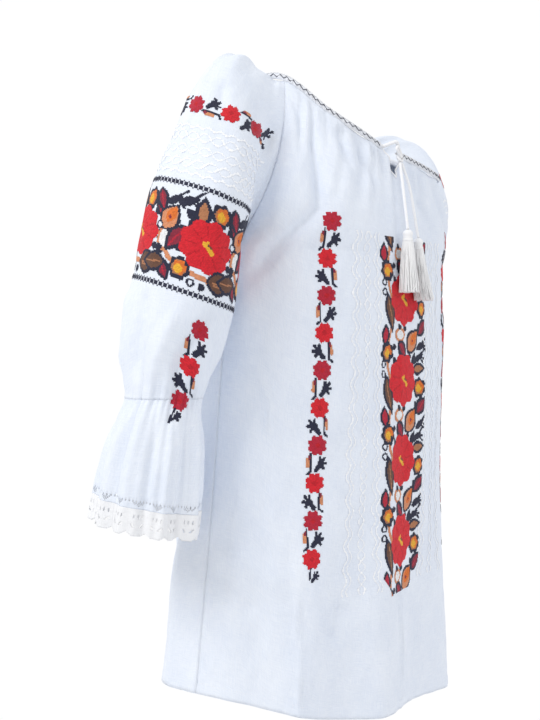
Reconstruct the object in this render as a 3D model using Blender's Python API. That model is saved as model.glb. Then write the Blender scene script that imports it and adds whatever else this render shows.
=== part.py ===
"""A gathered peasant tunic of thin white cotton, in the hollow form that it has when it is worn.

Metres, +Z up. The front faces -Y and the wearer's left is +X. The origin lies between the shoulders,
at the height of their tops. Every piece that a maker cuts is one closed solid, and neighbours stay
0.3 mm apart along their seams.
"""
import math
from collections import namedtuple

import bmesh
import bpy
from mathutils import Vector

# Cloth
WALL = 0.0016
BINDING_WALL = 0.0022
LACE_WALL = 0.0012
SEAM_GAP = 0.0003

# Heights
UNDERARM = -0.170
HEM_FRONT = -0.646
HEM_RIGHT = -0.602
HEM_LEFT = -0.680
HEM_BACK = -0.618
ELBOW = -0.316
CUFF = -0.414

# The frills hang lower towards the front: the slope, and the level direction in which they rise
CUFF_TILT = 0.19
CUFF_LEAN = (0.545, 0.839)

# How much the cloth stands out at the front on the wearer's left, where the tunic has slipped
LEFT_FULLNESS_TOP = 0.205
LEFT_FULLNESS_HEM = 0.125
LACE_DEPTH = 0.024

# How the middle of each sleeve leaves the neckline and comes to the underarm. The left head puffs up.
SLEEVE_HEADS = {
    -1: ((-0.080, -0.004, 0.074), (0.012, -0.010, 0.072)),
    1: ((0.095, -0.045, 0.085), (-0.025, -0.040, 0.105)),
}

# Where the raglan seams meet the neckline, in degrees from the front centre
RAGLAN_FRONT = 78
RAGLAN_BACK = 122

# The slit in the front, as a share of the panel's half width and of the yoke's height
SLIT_OPENING = 0.12
SLIT_ROW = 2

# How finely each piece is divided
YOKE_STEPS = (0.0, 0.12, 0.24, 0.40, 0.56, 0.72, 0.86, 1.0)
BODY_ROWS = 11
FRONT_HALF_COLUMNS = 19
BACK_COLUMNS = 24
SLEEVE_COLUMNS = 26
SLEEVE_HEIGHTS = (-0.186, -0.205, -0.232, -0.258, -0.280, -0.298, ELBOW)
FRILL_STEPS = (0.0, 0.10, 0.28, 0.60, 1.0)
SCALLOPS = 18
SCALLOP_COLUMNS = 3
SCALLOP_DROP = 0.005

# The binding
BINDING_HEIGHT = 0.0070
BINDING_LEAN = 0.25

# Drawstring and tassels
CORD_DIAMETER = 0.0028
KNOT_RADIUS = 0.0052
TASSEL_HEAD_RADIUS = 0.0054
TASSEL_HEAD_HEIGHT = 0.012
TASSEL_LENGTH = 0.066
TASSEL_STRANDS = 24
TASSEL_ROOT_RADIUS = 0.0050
TASSEL_TIP_RADIUS = 0.0092
# How far the threads lean by their tips
TASSEL_LEANS = {"tassel_right": (0.000, -0.001), "tassel_left": (0.008, -0.003)}

NeckPoint = namedtuple("NeckPoint", "angle radius height")
# The neckline has slipped a little down the wearer's left shoulder.
NECKLINE = (
    NeckPoint(-180, 0.080, 0.010),
    NeckPoint(-135, 0.090, 0.010),
    NeckPoint(-100, 0.099, 0.009),
    NeckPoint(-78, 0.101, 0.005),
    NeckPoint(-51, 0.096, -0.0296),
    NeckPoint(-19, 0.092, -0.0547),
    NeckPoint(0, 0.092, -0.0606),
    NeckPoint(25, 0.108, -0.0665),
    NeckPoint(45, 0.143, -0.0745),
    NeckPoint(62, 0.163, -0.068),
    NeckPoint(90, 0.160, -0.034),
    NeckPoint(130, 0.115, -0.004),
    NeckPoint(180, 0.080, 0.010),
)

BodySection = namedtuple("BodySection", "height half_width side_y front_y back_y")
BODY = (
    BodySection(-0.170, 0.160, 0.004, -0.105, 0.114),
    BodySection(-0.240, 0.163, 0.008, -0.107, 0.118),
    BodySection(-0.320, 0.167, 0.012, -0.106, 0.123),
    BodySection(-0.400, 0.172, 0.015, -0.104, 0.128),
    BodySection(-0.500, 0.182, 0.018, -0.103, 0.135),
    BodySection(-0.580, 0.191, 0.020, -0.104, 0.141),
    BodySection(-0.650, 0.199, 0.021, -0.106, 0.145),
)

SleeveSection = namedtuple("SleeveSection", "height out_x centre_y half_x half_y point")
# out_x is how far the middle of the ring lies from the tunic's own middle. point is 1 where the ring
# comes to a corner at the underarm and 0 where it is round.
SLEEVE = (
    SleeveSection(-0.170, 0.2115, 0.004, 0.0515, 0.0490, 1.0),
    SleeveSection(-0.200, 0.2185, 0.007, 0.0505, 0.0500, 0.6),
    SleeveSection(-0.240, 0.2265, 0.012, 0.0500, 0.0495, 0.2),
    SleeveSection(-0.275, 0.2315, 0.018, 0.0445, 0.0445, 0.0),
    SleeveSection(-0.300, 0.2345, 0.022, 0.0385, 0.0385, 0.0),
    SleeveSection(-0.316, 0.2360, 0.025, 0.0345, 0.0345, 0.0),
    SleeveSection(-0.330, 0.2370, 0.028, 0.0375, 0.0375, 0.0),
    SleeveSection(-0.350, 0.2380, 0.032, 0.0420, 0.0420, 0.0),
    SleeveSection(-0.380, 0.2390, 0.037, 0.0460, 0.0460, 0.0),
    SleeveSection(-0.414, 0.2400, 0.042, 0.0480, 0.0480, 0.0),
    SleeveSection(-0.445, 0.2410, 0.046, 0.0490, 0.0490, 0.0),
)

Fold = namedtuple("Fold", "across_top across_bottom width lift top bottom")
# across runs from -1 at the wearer's right seam to 1 at the left one. A lift below zero is a trough.
# A bottom below the hem keeps the fold open at the hem.
FRONT_FOLDS = (
    Fold(-0.50, -0.56, 0.055, -0.0070, -0.015, -0.170),
    Fold(-0.62, -0.68, 0.045, -0.0050, -0.010, -0.130),
    Fold(-0.78, -0.84, 0.045, -0.0035, 0.000, -0.080),
    Fold(-0.34, -0.38, 0.050, -0.0035, -0.030, -0.130),
    Fold(-0.18, -0.22, 0.050, -0.0030, -0.040, -0.150),
    Fold(-0.88, -0.86, 0.110, 0.0060, -0.030, -0.330),
    Fold(-0.10, -0.17, 0.080, 0.0070, -0.330, -0.900),
    Fold(-0.29, -0.33, 0.080, -0.0050, -0.400, -0.860),
    Fold(-0.50, -0.55, 0.070, 0.0050, -0.420, -0.880),
    Fold(-0.74, -0.70, 0.080, -0.0040, -0.300, -0.860),
    Fold(0.12, 0.10, 0.080, -0.0050, -0.380, -0.880),
    Fold(0.34, 0.36, 0.090, 0.0060, -0.360, -0.880),
    Fold(0.62, 0.60, 0.080, -0.0050, -0.340, -0.900),
    Fold(0.82, 0.84, 0.080, 0.0040, -0.300, -0.860),
    Fold(0.24, 0.26, 0.050, -0.0040, -0.050, -0.170),
    Fold(0.46, 0.50, 0.055, -0.0060, -0.050, -0.190),
    Fold(0.68, 0.74, 0.050, -0.0050, -0.040, -0.170),
    Fold(0.86, 0.88, 0.110, 0.0050, -0.060, -0.320),
)
BACK_FOLDS = (
    Fold(-0.80, -0.78, 0.080, 0.0050, -0.260, -0.860),
    Fold(-0.52, -0.56, 0.080, -0.0050, -0.240, -0.900),
    Fold(-0.24, -0.22, 0.090, 0.0060, -0.330, -0.880),
    Fold(0.04, 0.02, 0.090, -0.0050, -0.220, -0.880),
    Fold(0.30, 0.34, 0.090, 0.0065, -0.300, -0.900),
    Fold(0.60, 0.58, 0.080, -0.0050, -0.270, -0.860),
    Fold(0.84, 0.82, 0.080, 0.0045, -0.320, -0.880),
    Fold(-0.40, -0.44, 0.060, -0.0050, -0.010, -0.150),
    Fold(0.10, 0.12, 0.060, -0.0045, -0.010, -0.170),
    Fold(0.50, 0.54, 0.060, -0.0050, -0.010, -0.140),
)
FRONT_GATHERS = 16
BACK_GATHERS = 11
SLEEVE_TOP_GATHERS = 6
GATHER_LIFT = 0.0022
ELBOW_GATHERS = 13
ELBOW_GATHER_LIFT = 0.0016
FRILL_WAVES = 9
FRILL_WAVE_LIFT = 0.0026


def mix(a, b, share):
    return a + (b - a) * share


def smooth(share):
    share = min(1.0, max(0.0, share))
    return share * share * (3.0 - 2.0 * share)


def read_table(rows, key, column):
    """A column of a table at a value of its first column, on a smooth curve through the rows."""
    rows = sorted(rows)
    key = min(max(key, rows[0][0]), rows[-1][0])
    last = max(i for i in range(len(rows) - 1) if rows[i][0] <= key)
    before, low, high, after = (
        rows[max(last - 1, 0)],
        rows[last],
        rows[last + 1],
        rows[min(last + 2, len(rows) - 1)],
    )
    span = high[0] - low[0]
    share = (key - low[0]) / span
    v0, v1 = getattr(low, column), getattr(high, column)
    slope0 = (v1 - getattr(before, column)) / (high[0] - before[0]) * span
    slope1 = (getattr(after, column) - v0) / (after[0] - low[0]) * span
    s2, s3 = share * share, share**3
    return (
        v0 * (2 * s3 - 3 * s2 + 1)
        + slope0 * (s3 - 2 * s2 + share)
        + v1 * (3 * s2 - 2 * s3)
        + slope1 * (s3 - s2)
    )


def neck(angle):
    """A point of the neckline seam; the angle runs from the front centre to the wearer's left."""
    angle = (angle + 180) % 360 - 180
    radius = read_table(NECKLINE, angle, "radius")
    height = read_table(NECKLINE, angle, "height")
    turn = math.radians(angle)
    return Vector((radius * math.sin(turn), -radius * math.cos(turn), height))


def body_ring(angle, height):
    """A point of the body's wall, before its folds."""
    half_width = read_table(BODY, height, "half_width")
    side_y = read_table(BODY, height, "side_y")
    turn = math.radians(angle)
    facing = "front_y" if math.cos(turn) > 0 else "back_y"
    depth = abs(read_table(BODY, height, facing) - side_y)
    share = min(1.0, max(0.0, (UNDERARM - height) / (UNDERARM - HEM_LEFT)))
    fullness = mix(LEFT_FULLNESS_TOP, LEFT_FULLNESS_HEM, share)
    fuller = 1 + fullness * (max(0.0, math.sin(turn)) * max(0.0, math.cos(turn)) * 2) ** 1.5
    aside, forward = half_width * math.sin(turn) * fuller, depth * math.cos(turn) * fuller
    return Vector((aside, side_y - forward, height))


def sleeve_ring(side, around, height):
    """A point of a sleeve; around is 0 outside, and -1 and 1 at the underarm seam, front to back."""
    out_x = read_table(SLEEVE, height, "out_x")
    centre_y = read_table(SLEEVE, height, "centre_y")
    half_x = read_table(SLEEVE, height, "half_x")
    half_y = read_table(SLEEVE, height, "half_y")
    point = min(1.0, max(0.0, read_table(SLEEVE, height, "point")))
    turn = math.pi * around
    corner = 1.3 * max(0.0, math.cos(turn / 2))
    aside = half_x * math.cos(turn)
    behind = half_y * math.sin(turn) * mix(1.0, corner, point)
    tilt = CUFF_TILT * smooth((ELBOW - height) / (ELBOW - CUFF))
    lowered = tilt * (CUFF_LEAN[0] * aside + CUFF_LEAN[1] * behind)
    return Vector((side * (out_x + aside), centre_y + behind, height + lowered))


def bezier(p0, h0, h1, p3, share):
    """A curve from p0 to p3 that leaves along h0 and arrives from h1."""
    rest = 1 - share
    return (
        p0 * rest**3
        + (p0 + h0) * (3 * rest * rest * share)
        + (p3 + h1) * (3 * rest * share * share)
        + p3 * share**3
    )


def crown(across):
    """1 at the middle of a panel and 0 at its two raglan seams."""
    return math.cos(math.pi / 2 * across) ** 2


def head_crown(around):
    """The same for a sleeve's head, which is fuller towards its seams."""
    return max(0.0, math.cos(math.pi / 2 * around))


def raglan_handles(side, facing):
    """How the raglan seam leaves the neckline and how it comes to the underarm."""
    leave = Vector((side * 0.012, facing * 0.012, -0.055))
    arrive = Vector((side * -0.012, facing * (0.034 if facing > 0 else 0.045), 0.050))
    return leave, arrive


def front_yoke(across, share):
    side = 1 if across > 0 else -1
    leave, arrive = raglan_handles(side, -1)
    middle = crown(across)
    leave = leave.lerp(Vector((0, -0.006, -0.036)), middle)
    arrive = arrive.lerp(Vector((0, 0, 0.036)), middle)
    return bezier(neck(RAGLAN_FRONT * across), leave, arrive, body_ring(90 * across, UNDERARM), share)


def back_yoke(across, share):
    """across is -1 at the wearer's right seam and 1 at the left one, as on the front."""
    side = 1 if across > 0 else -1
    leave, arrive = raglan_handles(side, 1)
    middle = crown(across)
    leave = leave.lerp(Vector((0, 0.020, -0.045)), middle)
    arrive = arrive.lerp(Vector((0, 0, 0.060)), middle)
    top = neck(180 - (180 - RAGLAN_BACK) * across)
    return bezier(top, leave, arrive, body_ring(180 - 90 * across, UNDERARM), share)


def sleeve_yoke(side, around, share):
    facing = 1 if around > 0 else -1
    leave, arrive = raglan_handles(side, facing)
    middle = head_crown(around)
    head_leave, head_arrive = SLEEVE_HEADS[side]
    leave = leave.lerp(Vector(head_leave), middle)
    arrive = arrive.lerp(Vector(head_arrive), middle)
    angle = mix(RAGLAN_FRONT, RAGLAN_BACK, (around + 1) / 2)
    return bezier(neck(side * angle), leave, arrive, sleeve_ring(side, around, UNDERARM), share)


def fold_lift(folds, across, height):
    """How far the folds move the wall out at one place."""
    lift = 0.0
    for fold in folds:
        share = (fold.top - height) / (fold.top - fold.bottom)
        if 0 < share < 1:
            middle = mix(fold.across_top, fold.across_bottom, share)
            bell = math.exp(-(((across - middle) / fold.width) ** 2))
            lift += fold.lift * math.sin(math.pi * share) * bell
    return lift


def gather_lift(across, count, below):
    """Fine gathers that start under the binding and die away down the panel."""
    wander = 0.030 * math.sin(9 * across + 1) + 0.014 * math.sin(23 * across)
    wave = math.sin(math.pi * count * (across + wander))
    uneven = 0.75 + 0.25 * math.sin(5 * across + 2)
    return GATHER_LIFT * wave * uneven * smooth(below / 0.012) * math.exp(-below / 0.060)


def edge_fade(across):
    """Folds die away at a seam, so that both panels keep the seam's line."""
    return smooth((1 - abs(across)) / 0.12)


def hem_height(angle):
    """The hem hangs lower where the tunic has slipped, at the front and on the wearer's left."""
    front, left = math.cos(math.radians(angle)), math.sin(math.radians(angle))
    end = HEM_FRONT if front > 0 else HEM_BACK
    side = HEM_LEFT if left > 0 else HEM_RIGHT
    return end * front * front + side * left * left


def body_down(yoke, angle, across, down):
    """Down is 0 at the neckline, 1 at the underarm and 2 at the hem."""
    if down <= 1:
        return yoke(across, down)
    return body_ring(angle, mix(UNDERARM, hem_height(angle), down - 1))


def front_surface(across, down):
    return body_down(front_yoke, 90 * across, across, down)


def back_surface(across, down):
    return body_down(back_yoke, 180 - 90 * across, across, down)


def sleeve_surface(side):
    """Down is 0 at the neckline and 1 at the underarm, and then the depth below the underarm is added."""

    def surface(around, down):
        if down <= 1:
            return sleeve_yoke(side, around, down)
        return sleeve_ring(side, around, UNDERARM - (down - 1))

    return surface


def outward(surface, across, down, lowest):
    """The outward direction of a surface whose columns run to the wearer's left on the front."""
    step = 0.004
    left, right = max(-1.0, across - step), min(1.0, across + step)
    above, below = max(0.0, down - step), min(lowest, down + step)
    along = surface(right, down) - surface(left, down)
    fall = surface(across, below) - surface(across, above)
    return fall.cross(along).normalized()


def front_point(across, down):
    point = front_surface(across, down)
    below = down * 0.11 if down <= 1 else 1
    lift = fold_lift(FRONT_FOLDS, across, point.z) + gather_lift(across, FRONT_GATHERS, below)
    return point + outward(front_surface, across, down, 2) * lift * edge_fade(across)


def back_point(across, down):
    point = back_surface(across, down)
    below = down * 0.16 if down <= 1 else 1
    lift = fold_lift(BACK_FOLDS, across, point.z) + gather_lift(across, BACK_GATHERS, below)
    return point - outward(back_surface, across, down, 2) * lift * edge_fade(across)


def sleeve_point(side, around, down):
    """A point of a sleeve, its frill or its lace, with the gathers at the neck and the elbow."""
    surface = sleeve_surface(side)
    point = surface(around, down)
    away = outward(surface, around, down, 1.3) * side
    if down <= 1:
        lift = gather_lift(around, SLEEVE_TOP_GATHERS, down * 0.2) * edge_fade(around)
        return point + away * lift
    turn = math.pi * (around + 1)
    elbow = ELBOW_GATHER_LIFT * math.cos(ELBOW_GATHERS * turn) * math.exp(-abs(point.z - ELBOW) / 0.016)
    flare = smooth((ELBOW - point.z) / 0.05)
    waves = FRILL_WAVE_LIFT * math.cos(FRILL_WAVES * turn + 0.6 * math.sin(2 * turn)) * flare
    return point + away * (elbow + waves)


def spread(columns):
    """Places from -1 to 1."""
    return [-1 + 2 * j / columns for j in range(columns + 1)]


BODY_STEPS = YOKE_STEPS + tuple(1 + (i + 1) / BODY_ROWS for i in range(BODY_ROWS))


def slit_place(share, across, side):
    """Where a column of the front lies once the slit has pushed the columns apart."""
    opening = SLIT_OPENING * max(0.0, 1 - share / YOKE_STEPS[SLIT_ROW])
    return side * (opening + across * (1 - opening))


def front_grid():
    """The right half and then the left half, which share their middle column below the slit."""
    halves = [(j / FRONT_HALF_COLUMNS, -1) for j in range(FRONT_HALF_COLUMNS, -1, -1)]
    halves += [(j / FRONT_HALF_COLUMNS, 1) for j in range(FRONT_HALF_COLUMNS + 1)]
    return [
        [front_point(slit_place(down, across, side), down) for across, side in halves]
        for down in BODY_STEPS
    ]


def back_grid():
    """From the wearer's left to the right, so that its outer side is found as on the front."""
    return [[back_point(-across, down) for across in spread(BACK_COLUMNS)] for down in BODY_STEPS]


def sleeve_grid(side):
    depths = tuple(1 + UNDERARM - height for height in SLEEVE_HEIGHTS)
    places = [side * around for around in spread(SLEEVE_COLUMNS)]
    return [[sleeve_point(side, around, down) for around in places] for down in YOKE_STEPS + depths]


def frill_grid(side):
    places = [side * around for around in spread(SLEEVE_COLUMNS)]
    heights = [mix(ELBOW, CUFF, share) for share in FRILL_STEPS]
    downs = [1 + UNDERARM - height for height in heights]
    return [[sleeve_point(side, around, down) for around in places] for down in downs]


def lace_grid(side):
    columns = SCALLOPS * SCALLOP_COLUMNS
    places = [side * around for around in spread(columns)]
    grid = []
    for share in (0.0, 0.55, 1.0):
        row = []
        for j, around in enumerate(places):
            notch = SCALLOP_DROP if j % SCALLOP_COLUMNS == 0 else 0.0
            height = CUFF - share * (LACE_DEPTH - notch)
            row.append(sleeve_point(side, around, 1 + UNDERARM - height))
        grid.append(row)
    return grid


def binding_grid(panels):
    """Two rows: the upper edge, and the neckline as the panels' own top edges give it."""
    half = FRONT_HALF_COLUMNS + 1
    front, back = panels["front"][0], panels["back"][0]
    seam = front[half:] + panels["sleeve_left"][0][1:] + back[1:] + panels["sleeve_right"][0][1:]
    seam += front[1:half]
    upper = []
    for point in seam:
        inward = Vector((-point.x, -point.y, 0)).normalized()
        upper.append(point + (inward * BINDING_LEAN + Vector((0, 0, 1))).normalized() * BINDING_HEIGHT)
    return [upper, seam]


def key(point):
    return tuple(round(c, 5) for c in point)


def shared_normals(grids):
    """One outward direction for each point, halfway between those of the pieces that meet there."""
    sums = {}
    for name, grid in grids.items():
        own = {}
        for i in range(len(grid) - 1):
            for j in range(len(grid[0]) - 1):
                if name == "front" and j == FRONT_HALF_COLUMNS:
                    continue
                a, b = grid[i][j], grid[i][j + 1]
                c, d = grid[i + 1][j + 1], grid[i + 1][j]
                face = (c - a).cross(b - d)
                for corner in (a, b, c, d):
                    own[key(corner)] = own.get(key(corner), Vector()) + face
        for place, total in own.items():
            sums[place] = sums.get(place, Vector()) + total.normalized()
    return {place: total.normalized() for place, total in sums.items()}


def open_surface(grid, skipped_column=None):
    """A grid primitive whose points are put on the cloth, with coinciding points joined."""
    rows, columns = len(grid), len(grid[0])
    bm = bmesh.new()
    bmesh.ops.create_grid(bm, x_segments=columns - 1, y_segments=rows - 1, size=1)
    bm.verts.ensure_lookup_table()
    for i in range(rows):
        for j in range(columns):
            bm.verts[i * columns + j].co = grid[i][j]
    if skipped_column is not None:
        left = {bm.verts[i * columns + skipped_column] for i in range(rows)}
        right = {bm.verts[i * columns + skipped_column + 1] for i in range(rows)}
        gone = [f for f in bm.faces if set(f.verts) & left and set(f.verts) & right]
        bmesh.ops.delete(bm, geom=gone, context="FACES")
    bmesh.ops.remove_doubles(bm, verts=bm.verts, dist=1e-6)
    return bm


def armpit(point):
    """The side of the garment whose underarm point this is, or 0."""
    for side in (-1, 1):
        if (point - body_ring(90 * side, UNDERARM)).length < 1e-5:
            return side
    return 0


def seam_shifts(bm, normals):
    """How far each edge point steps back from its seam."""
    shifts = {}
    for edge in bm.edges:
        if not edge.is_boundary:
            continue
        face = edge.link_faces[0]
        for vert in edge.verts:
            along = (edge.verts[1].co - edge.verts[0].co).normalized()
            across = along.cross(normals[vert]).normalized()
            if across.dot(face.calc_center_median() - vert.co) < 0:
                across = -across
            shifts.setdefault(vert, []).append(across)
    result = {}
    for vert, steps in shifts.items():
        total = sum(steps, Vector())
        same_seam = len(steps) == 2 and steps[0].dot(steps[1]) > 0.5
        result[vert] = (total.normalized() if same_seam else total) * (SEAM_GAP / 2)
    return result


def thick(bm, shared, wall, is_sleeve):
    """Closes an open surface into a wall whose edges stand parallel to its neighbours' edges."""
    normals = {v: shared[key(v.co)] for v in bm.verts}
    shifts = seam_shifts(bm, normals)
    for vert in bm.verts:
        side = armpit(vert.co)
        if side:
            lean = -side if is_sleeve else side
            normals[vert] = Vector((lean * 0.6, 0, -0.8))
            apart = Vector((-lean * (0.3 * wall + SEAM_GAP / 2), 0, 0))
            shifts[vert] = apart if is_sleeve else shifts[vert] + apart
    faces = list(bm.faces)
    loops = [e.link_loops[0] for e in bm.edges if e.is_boundary]
    rim = [(loop.edge, loop.vert, loop.link_loop_next.vert) for loop in loops]
    bm.normal_update()
    flip = sum(f.calc_area() * f.normal.dot(normals[f.verts[0]]) for f in faces) < 0
    inner = {}
    for vert in list(bm.verts):
        centre = vert.co + shifts.get(vert, Vector())
        inner[vert] = bm.verts.new(centre - normals[vert] * (wall / 2))
        vert.co = centre + normals[vert] * (wall / 2)
    for face in faces:
        bm.faces.new([inner[v] for v in reversed(face.verts)])
    for _, first, second in rim:
        bm.faces.new((second, first, inner[first], inner[second]))
    if flip:
        bmesh.ops.reverse_faces(bm, faces=bm.faces)
    bmesh.ops.triangulate(bm, faces=bm.faces)


def material(name, colour, roughness):
    made = bpy.data.materials.new(name)
    made.use_nodes = True
    shader = made.node_tree.nodes["Principled BSDF"]
    shader.inputs["Base Color"].default_value = (*colour, 1)
    shader.inputs["Roughness"].default_value = roughness
    return made


def add_object(name, mesh, finish):
    thing = bpy.data.objects.new(name, mesh)
    collection.objects.link(thing)
    mesh.materials.clear()
    mesh.materials.append(finish)
    for polygon in mesh.polygons:
        polygon.use_smooth = True
    mesh.set_sharp_from_angle(angle=math.radians(40))
    return thing


def mesh_from(bm, name):
    mesh = bpy.data.meshes.new(name)
    bm.to_mesh(mesh)
    bm.free()
    return mesh


def tube(name, points, diameter, finish, closed=False):
    """A cord along a smooth line."""
    curve = bpy.data.curves.new(name, "CURVE")
    curve.dimensions = "3D"
    curve.bevel_depth = diameter / 2
    curve.bevel_resolution = 2
    curve.use_fill_caps = not closed
    line = curve.splines.new("POLY")
    line.points.add(len(points) - 1)
    line.use_cyclic_u = closed
    for slot, place in zip(line.points, points):
        slot.co = (*place, 1)
    thing = bpy.data.objects.new(name, curve)
    collection.objects.link(thing)
    curve.materials.append(finish)
    return thing


def smooth_line(places, per_span):
    """Points on a smooth curve through the places."""
    places = [Vector(p) for p in places]
    ends = [2 * places[0] - places[1]] + places + [2 * places[-1] - places[-2]]
    line = []
    for i in range(len(places) - 1):
        before, low, high, after = ends[i : i + 4]
        for step in range(per_span):
            t = step / per_span
            line.append(
                0.5
                * (
                    2 * low
                    + (high - before) * t
                    + (2 * before - 5 * low + 4 * high - after) * t * t
                    + (3 * low - before - 3 * high + after) * t**3
                )
            )
    return line + [places[-1]]


# The knot sits at the slit's left edge. Each step is counted from the knot.
KNOT = Vector((0.0040, -0.1010, -0.0660))
CORD_ROUTES = {
    "cord_right": ((-0.0018, -0.0010, -0.0051), (-0.0075, -0.0070, -0.030), (-0.0130, -0.0155, -0.0775)),
    "cord_left": ((0.0021, -0.0012, -0.0050), (0.0070, -0.0085, -0.033), (0.0085, -0.0172, -0.0845)),
}
ARCH_STEPS = ((-0.0125, 0.0010, 0.0150), (-0.0065, -0.0002, 0.0150))
LOOP_STEPS = (
    (-0.0052, -0.0026, 0.0022),
    (-0.0125, -0.0026, 0.0075),
    (-0.0100, -0.0024, 0.0108),
    (-0.0045, -0.0026, 0.0060),
)


def knot_object(finish):
    bm = bmesh.new()
    bmesh.ops.create_uvsphere(bm, u_segments=12, v_segments=8, radius=KNOT_RADIUS)
    bmesh.ops.scale(bm, vec=(1.0, 0.62, 0.92), verts=bm.verts)
    bmesh.ops.translate(bm, vec=KNOT, verts=bm.verts)
    return add_object("bow_knot", mesh_from(bm, "bow_knot"), finish)


def tassel(name, top, finish):
    """A bound head with its threads hanging from it as one piece."""
    bm = bmesh.new()
    profile = (
        (0.0012, 0.0),
        (0.0030, -0.0008),
        (TASSEL_HEAD_RADIUS, -0.0035),
        (TASSEL_HEAD_RADIUS * 0.92, -0.0070),
        (TASSEL_HEAD_RADIUS * 0.78, -0.0082),
        (TASSEL_HEAD_RADIUS * 0.80, -0.0095),
        (TASSEL_HEAD_RADIUS * 1.10, -TASSEL_HEAD_HEIGHT),
    )
    line = [bm.verts.new((radius, 0, height)) for radius, height in profile]
    edges = [bm.edges.new(pair) for pair in zip(line, line[1:])]
    bmesh.ops.spin(
        bm, geom=line + edges, axis=(0, 0, 1), cent=(0, 0, 0), angle=math.tau, steps=12, use_merge=True
    )
    for height in (profile[0][1], profile[-1][1]):
        ring = [e for e in bm.edges if e.is_boundary and abs(e.verts[0].co.z - height) < 1e-6]
        bmesh.ops.contextual_create(bm, geom=ring)
    bmesh.ops.recalc_face_normals(bm, faces=bm.faces)
    bmesh.ops.translate(bm, vec=top, verts=bm.verts)
    head = add_object(name, mesh_from(bm, name), finish)

    threads = bmesh.new()
    for strand in range(TASSEL_STRANDS):
        share = math.sqrt((strand + 0.5) / TASSEL_STRANDS)
        turn = strand * math.radians(137.5)
        aside = Vector((math.cos(turn), math.sin(turn), 0)) * share
        root = aside * TASSEL_ROOT_RADIUS + Vector((0, 0, 0.001 - TASSEL_HEAD_HEIGHT))
        tip_drop = TASSEL_LENGTH - 0.004 * (0.5 + 0.5 * math.sin(strand * 2.4))
        lean_x, lean_y = TASSEL_LEANS[name]
        tip = aside * TASSEL_TIP_RADIUS + Vector((lean_x, lean_y, -tip_drop))
        length = (tip - root).length
        made = bmesh.ops.create_cone(
            threads, cap_ends=True, segments=3, radius1=0.00062, radius2=0.00050, depth=length
        )
        lean = Vector((0, 0, -1)).rotation_difference(tip - root)
        bmesh.ops.rotate(threads, cent=(0, 0, 0), matrix=lean.to_matrix(), verts=made["verts"])
        bmesh.ops.translate(threads, vec=top + (root + tip) / 2, verts=made["verts"])
    strands = bpy.data.objects.new(f"{name}_threads", mesh_from(threads, f"{name}_threads"))
    cutters.objects.link(strands)
    strands.hide_render = True
    strands.display_type = "WIRE"
    union = head.modifiers.new("threads", "BOOLEAN")
    union.operation = "UNION"
    union.object = strands
    return head


for old in list(bpy.data.objects):
    bpy.data.objects.remove(old)
collection = bpy.data.collections.new("peasant_tunic")
cutters = bpy.data.collections.new("tunic_cutters")
for made in (collection, cutters):
    bpy.context.scene.collection.children.link(made)

cotton = material("cotton", (0.86, 0.87, 0.90), 0.85)
lace_cotton = material("lace_cotton", (0.88, 0.88, 0.89), 0.88)
binding_cotton = material("binding_cotton", (0.84, 0.85, 0.88), 0.85)
thread = material("thread", (0.90, 0.90, 0.91), 0.75)

grids = {
    "front": front_grid(),
    "back": back_grid(),
    "sleeve_right": sleeve_grid(-1),
    "sleeve_left": sleeve_grid(1),
    "frill_right": frill_grid(-1),
    "frill_left": frill_grid(1),
    "lace_right": lace_grid(-1),
    "lace_left": lace_grid(1),
}
grids["neck_binding"] = binding_grid(grids)
shared = shared_normals(grids)
for name, grid in grids.items():
    surface = open_surface(grid, FRONT_HALF_COLUMNS if name == "front" else None)
    wall = {"neck_binding": BINDING_WALL, "lace_right": LACE_WALL, "lace_left": LACE_WALL}.get(name, WALL)
    finish = lace_cotton if "lace" in name else binding_cotton if "binding" in name else cotton
    thick(surface, shared, wall, "sleeve" in name)
    add_object(name, mesh_from(surface, name), finish)

knot_object(thread)
upper, seam = grids["neck_binding"]
left_end, right_end = ((upper[end] + seam[end]) / 2 for end in (0, -1))
tie_left = (
    left_end + Vector((-0.0014, -0.0010, 0)),
    KNOT + Vector((KNOT_RADIUS + 0.0012, 0.0006, 0.0006)),
)
tube("tie_left", tie_left, CORD_DIAMETER, thread)
arch = [right_end + Vector((0.0014, -0.0006, 0.0004))]
arch += [KNOT + Vector(step) for step in ARCH_STEPS]
arch += [KNOT + Vector((-0.0020, 0.0002, KNOT_RADIUS + 0.0006))]
tube("tie_right", smooth_line(arch, 4), CORD_DIAMETER, thread)
loop = [KNOT + Vector(step) for step in LOOP_STEPS]
tube("bow_loop", smooth_line(loop + loop[:1], 4)[:-1], CORD_DIAMETER * 0.8, thread, closed=True)
for name, route in CORD_ROUTES.items():
    line = smooth_line([KNOT + Vector(step) for step in route], 8)
    tube(name, line, CORD_DIAMETER, thread)
    tassel(name.replace("cord", "tassel"), line[-1] + Vector((0, 0, -SEAM_GAP)), thread)
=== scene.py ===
# %% [markdown]
# # A gathered peasant tunic of thin white cotton
#
# The tunic hangs in the form that it has when it is worn: a gathered neck with a bound edge and a
# drawstring, raglan sleeves that are gathered at the elbow, and a straight body. Its bodies come packed
# from the CAD as a fixed frame. This lesson dresses that frame: every cloth piece is made again as a thin
# sheet with its gathers, and the embroidery is laid on it stitch by stitch.

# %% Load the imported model
import math

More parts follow.
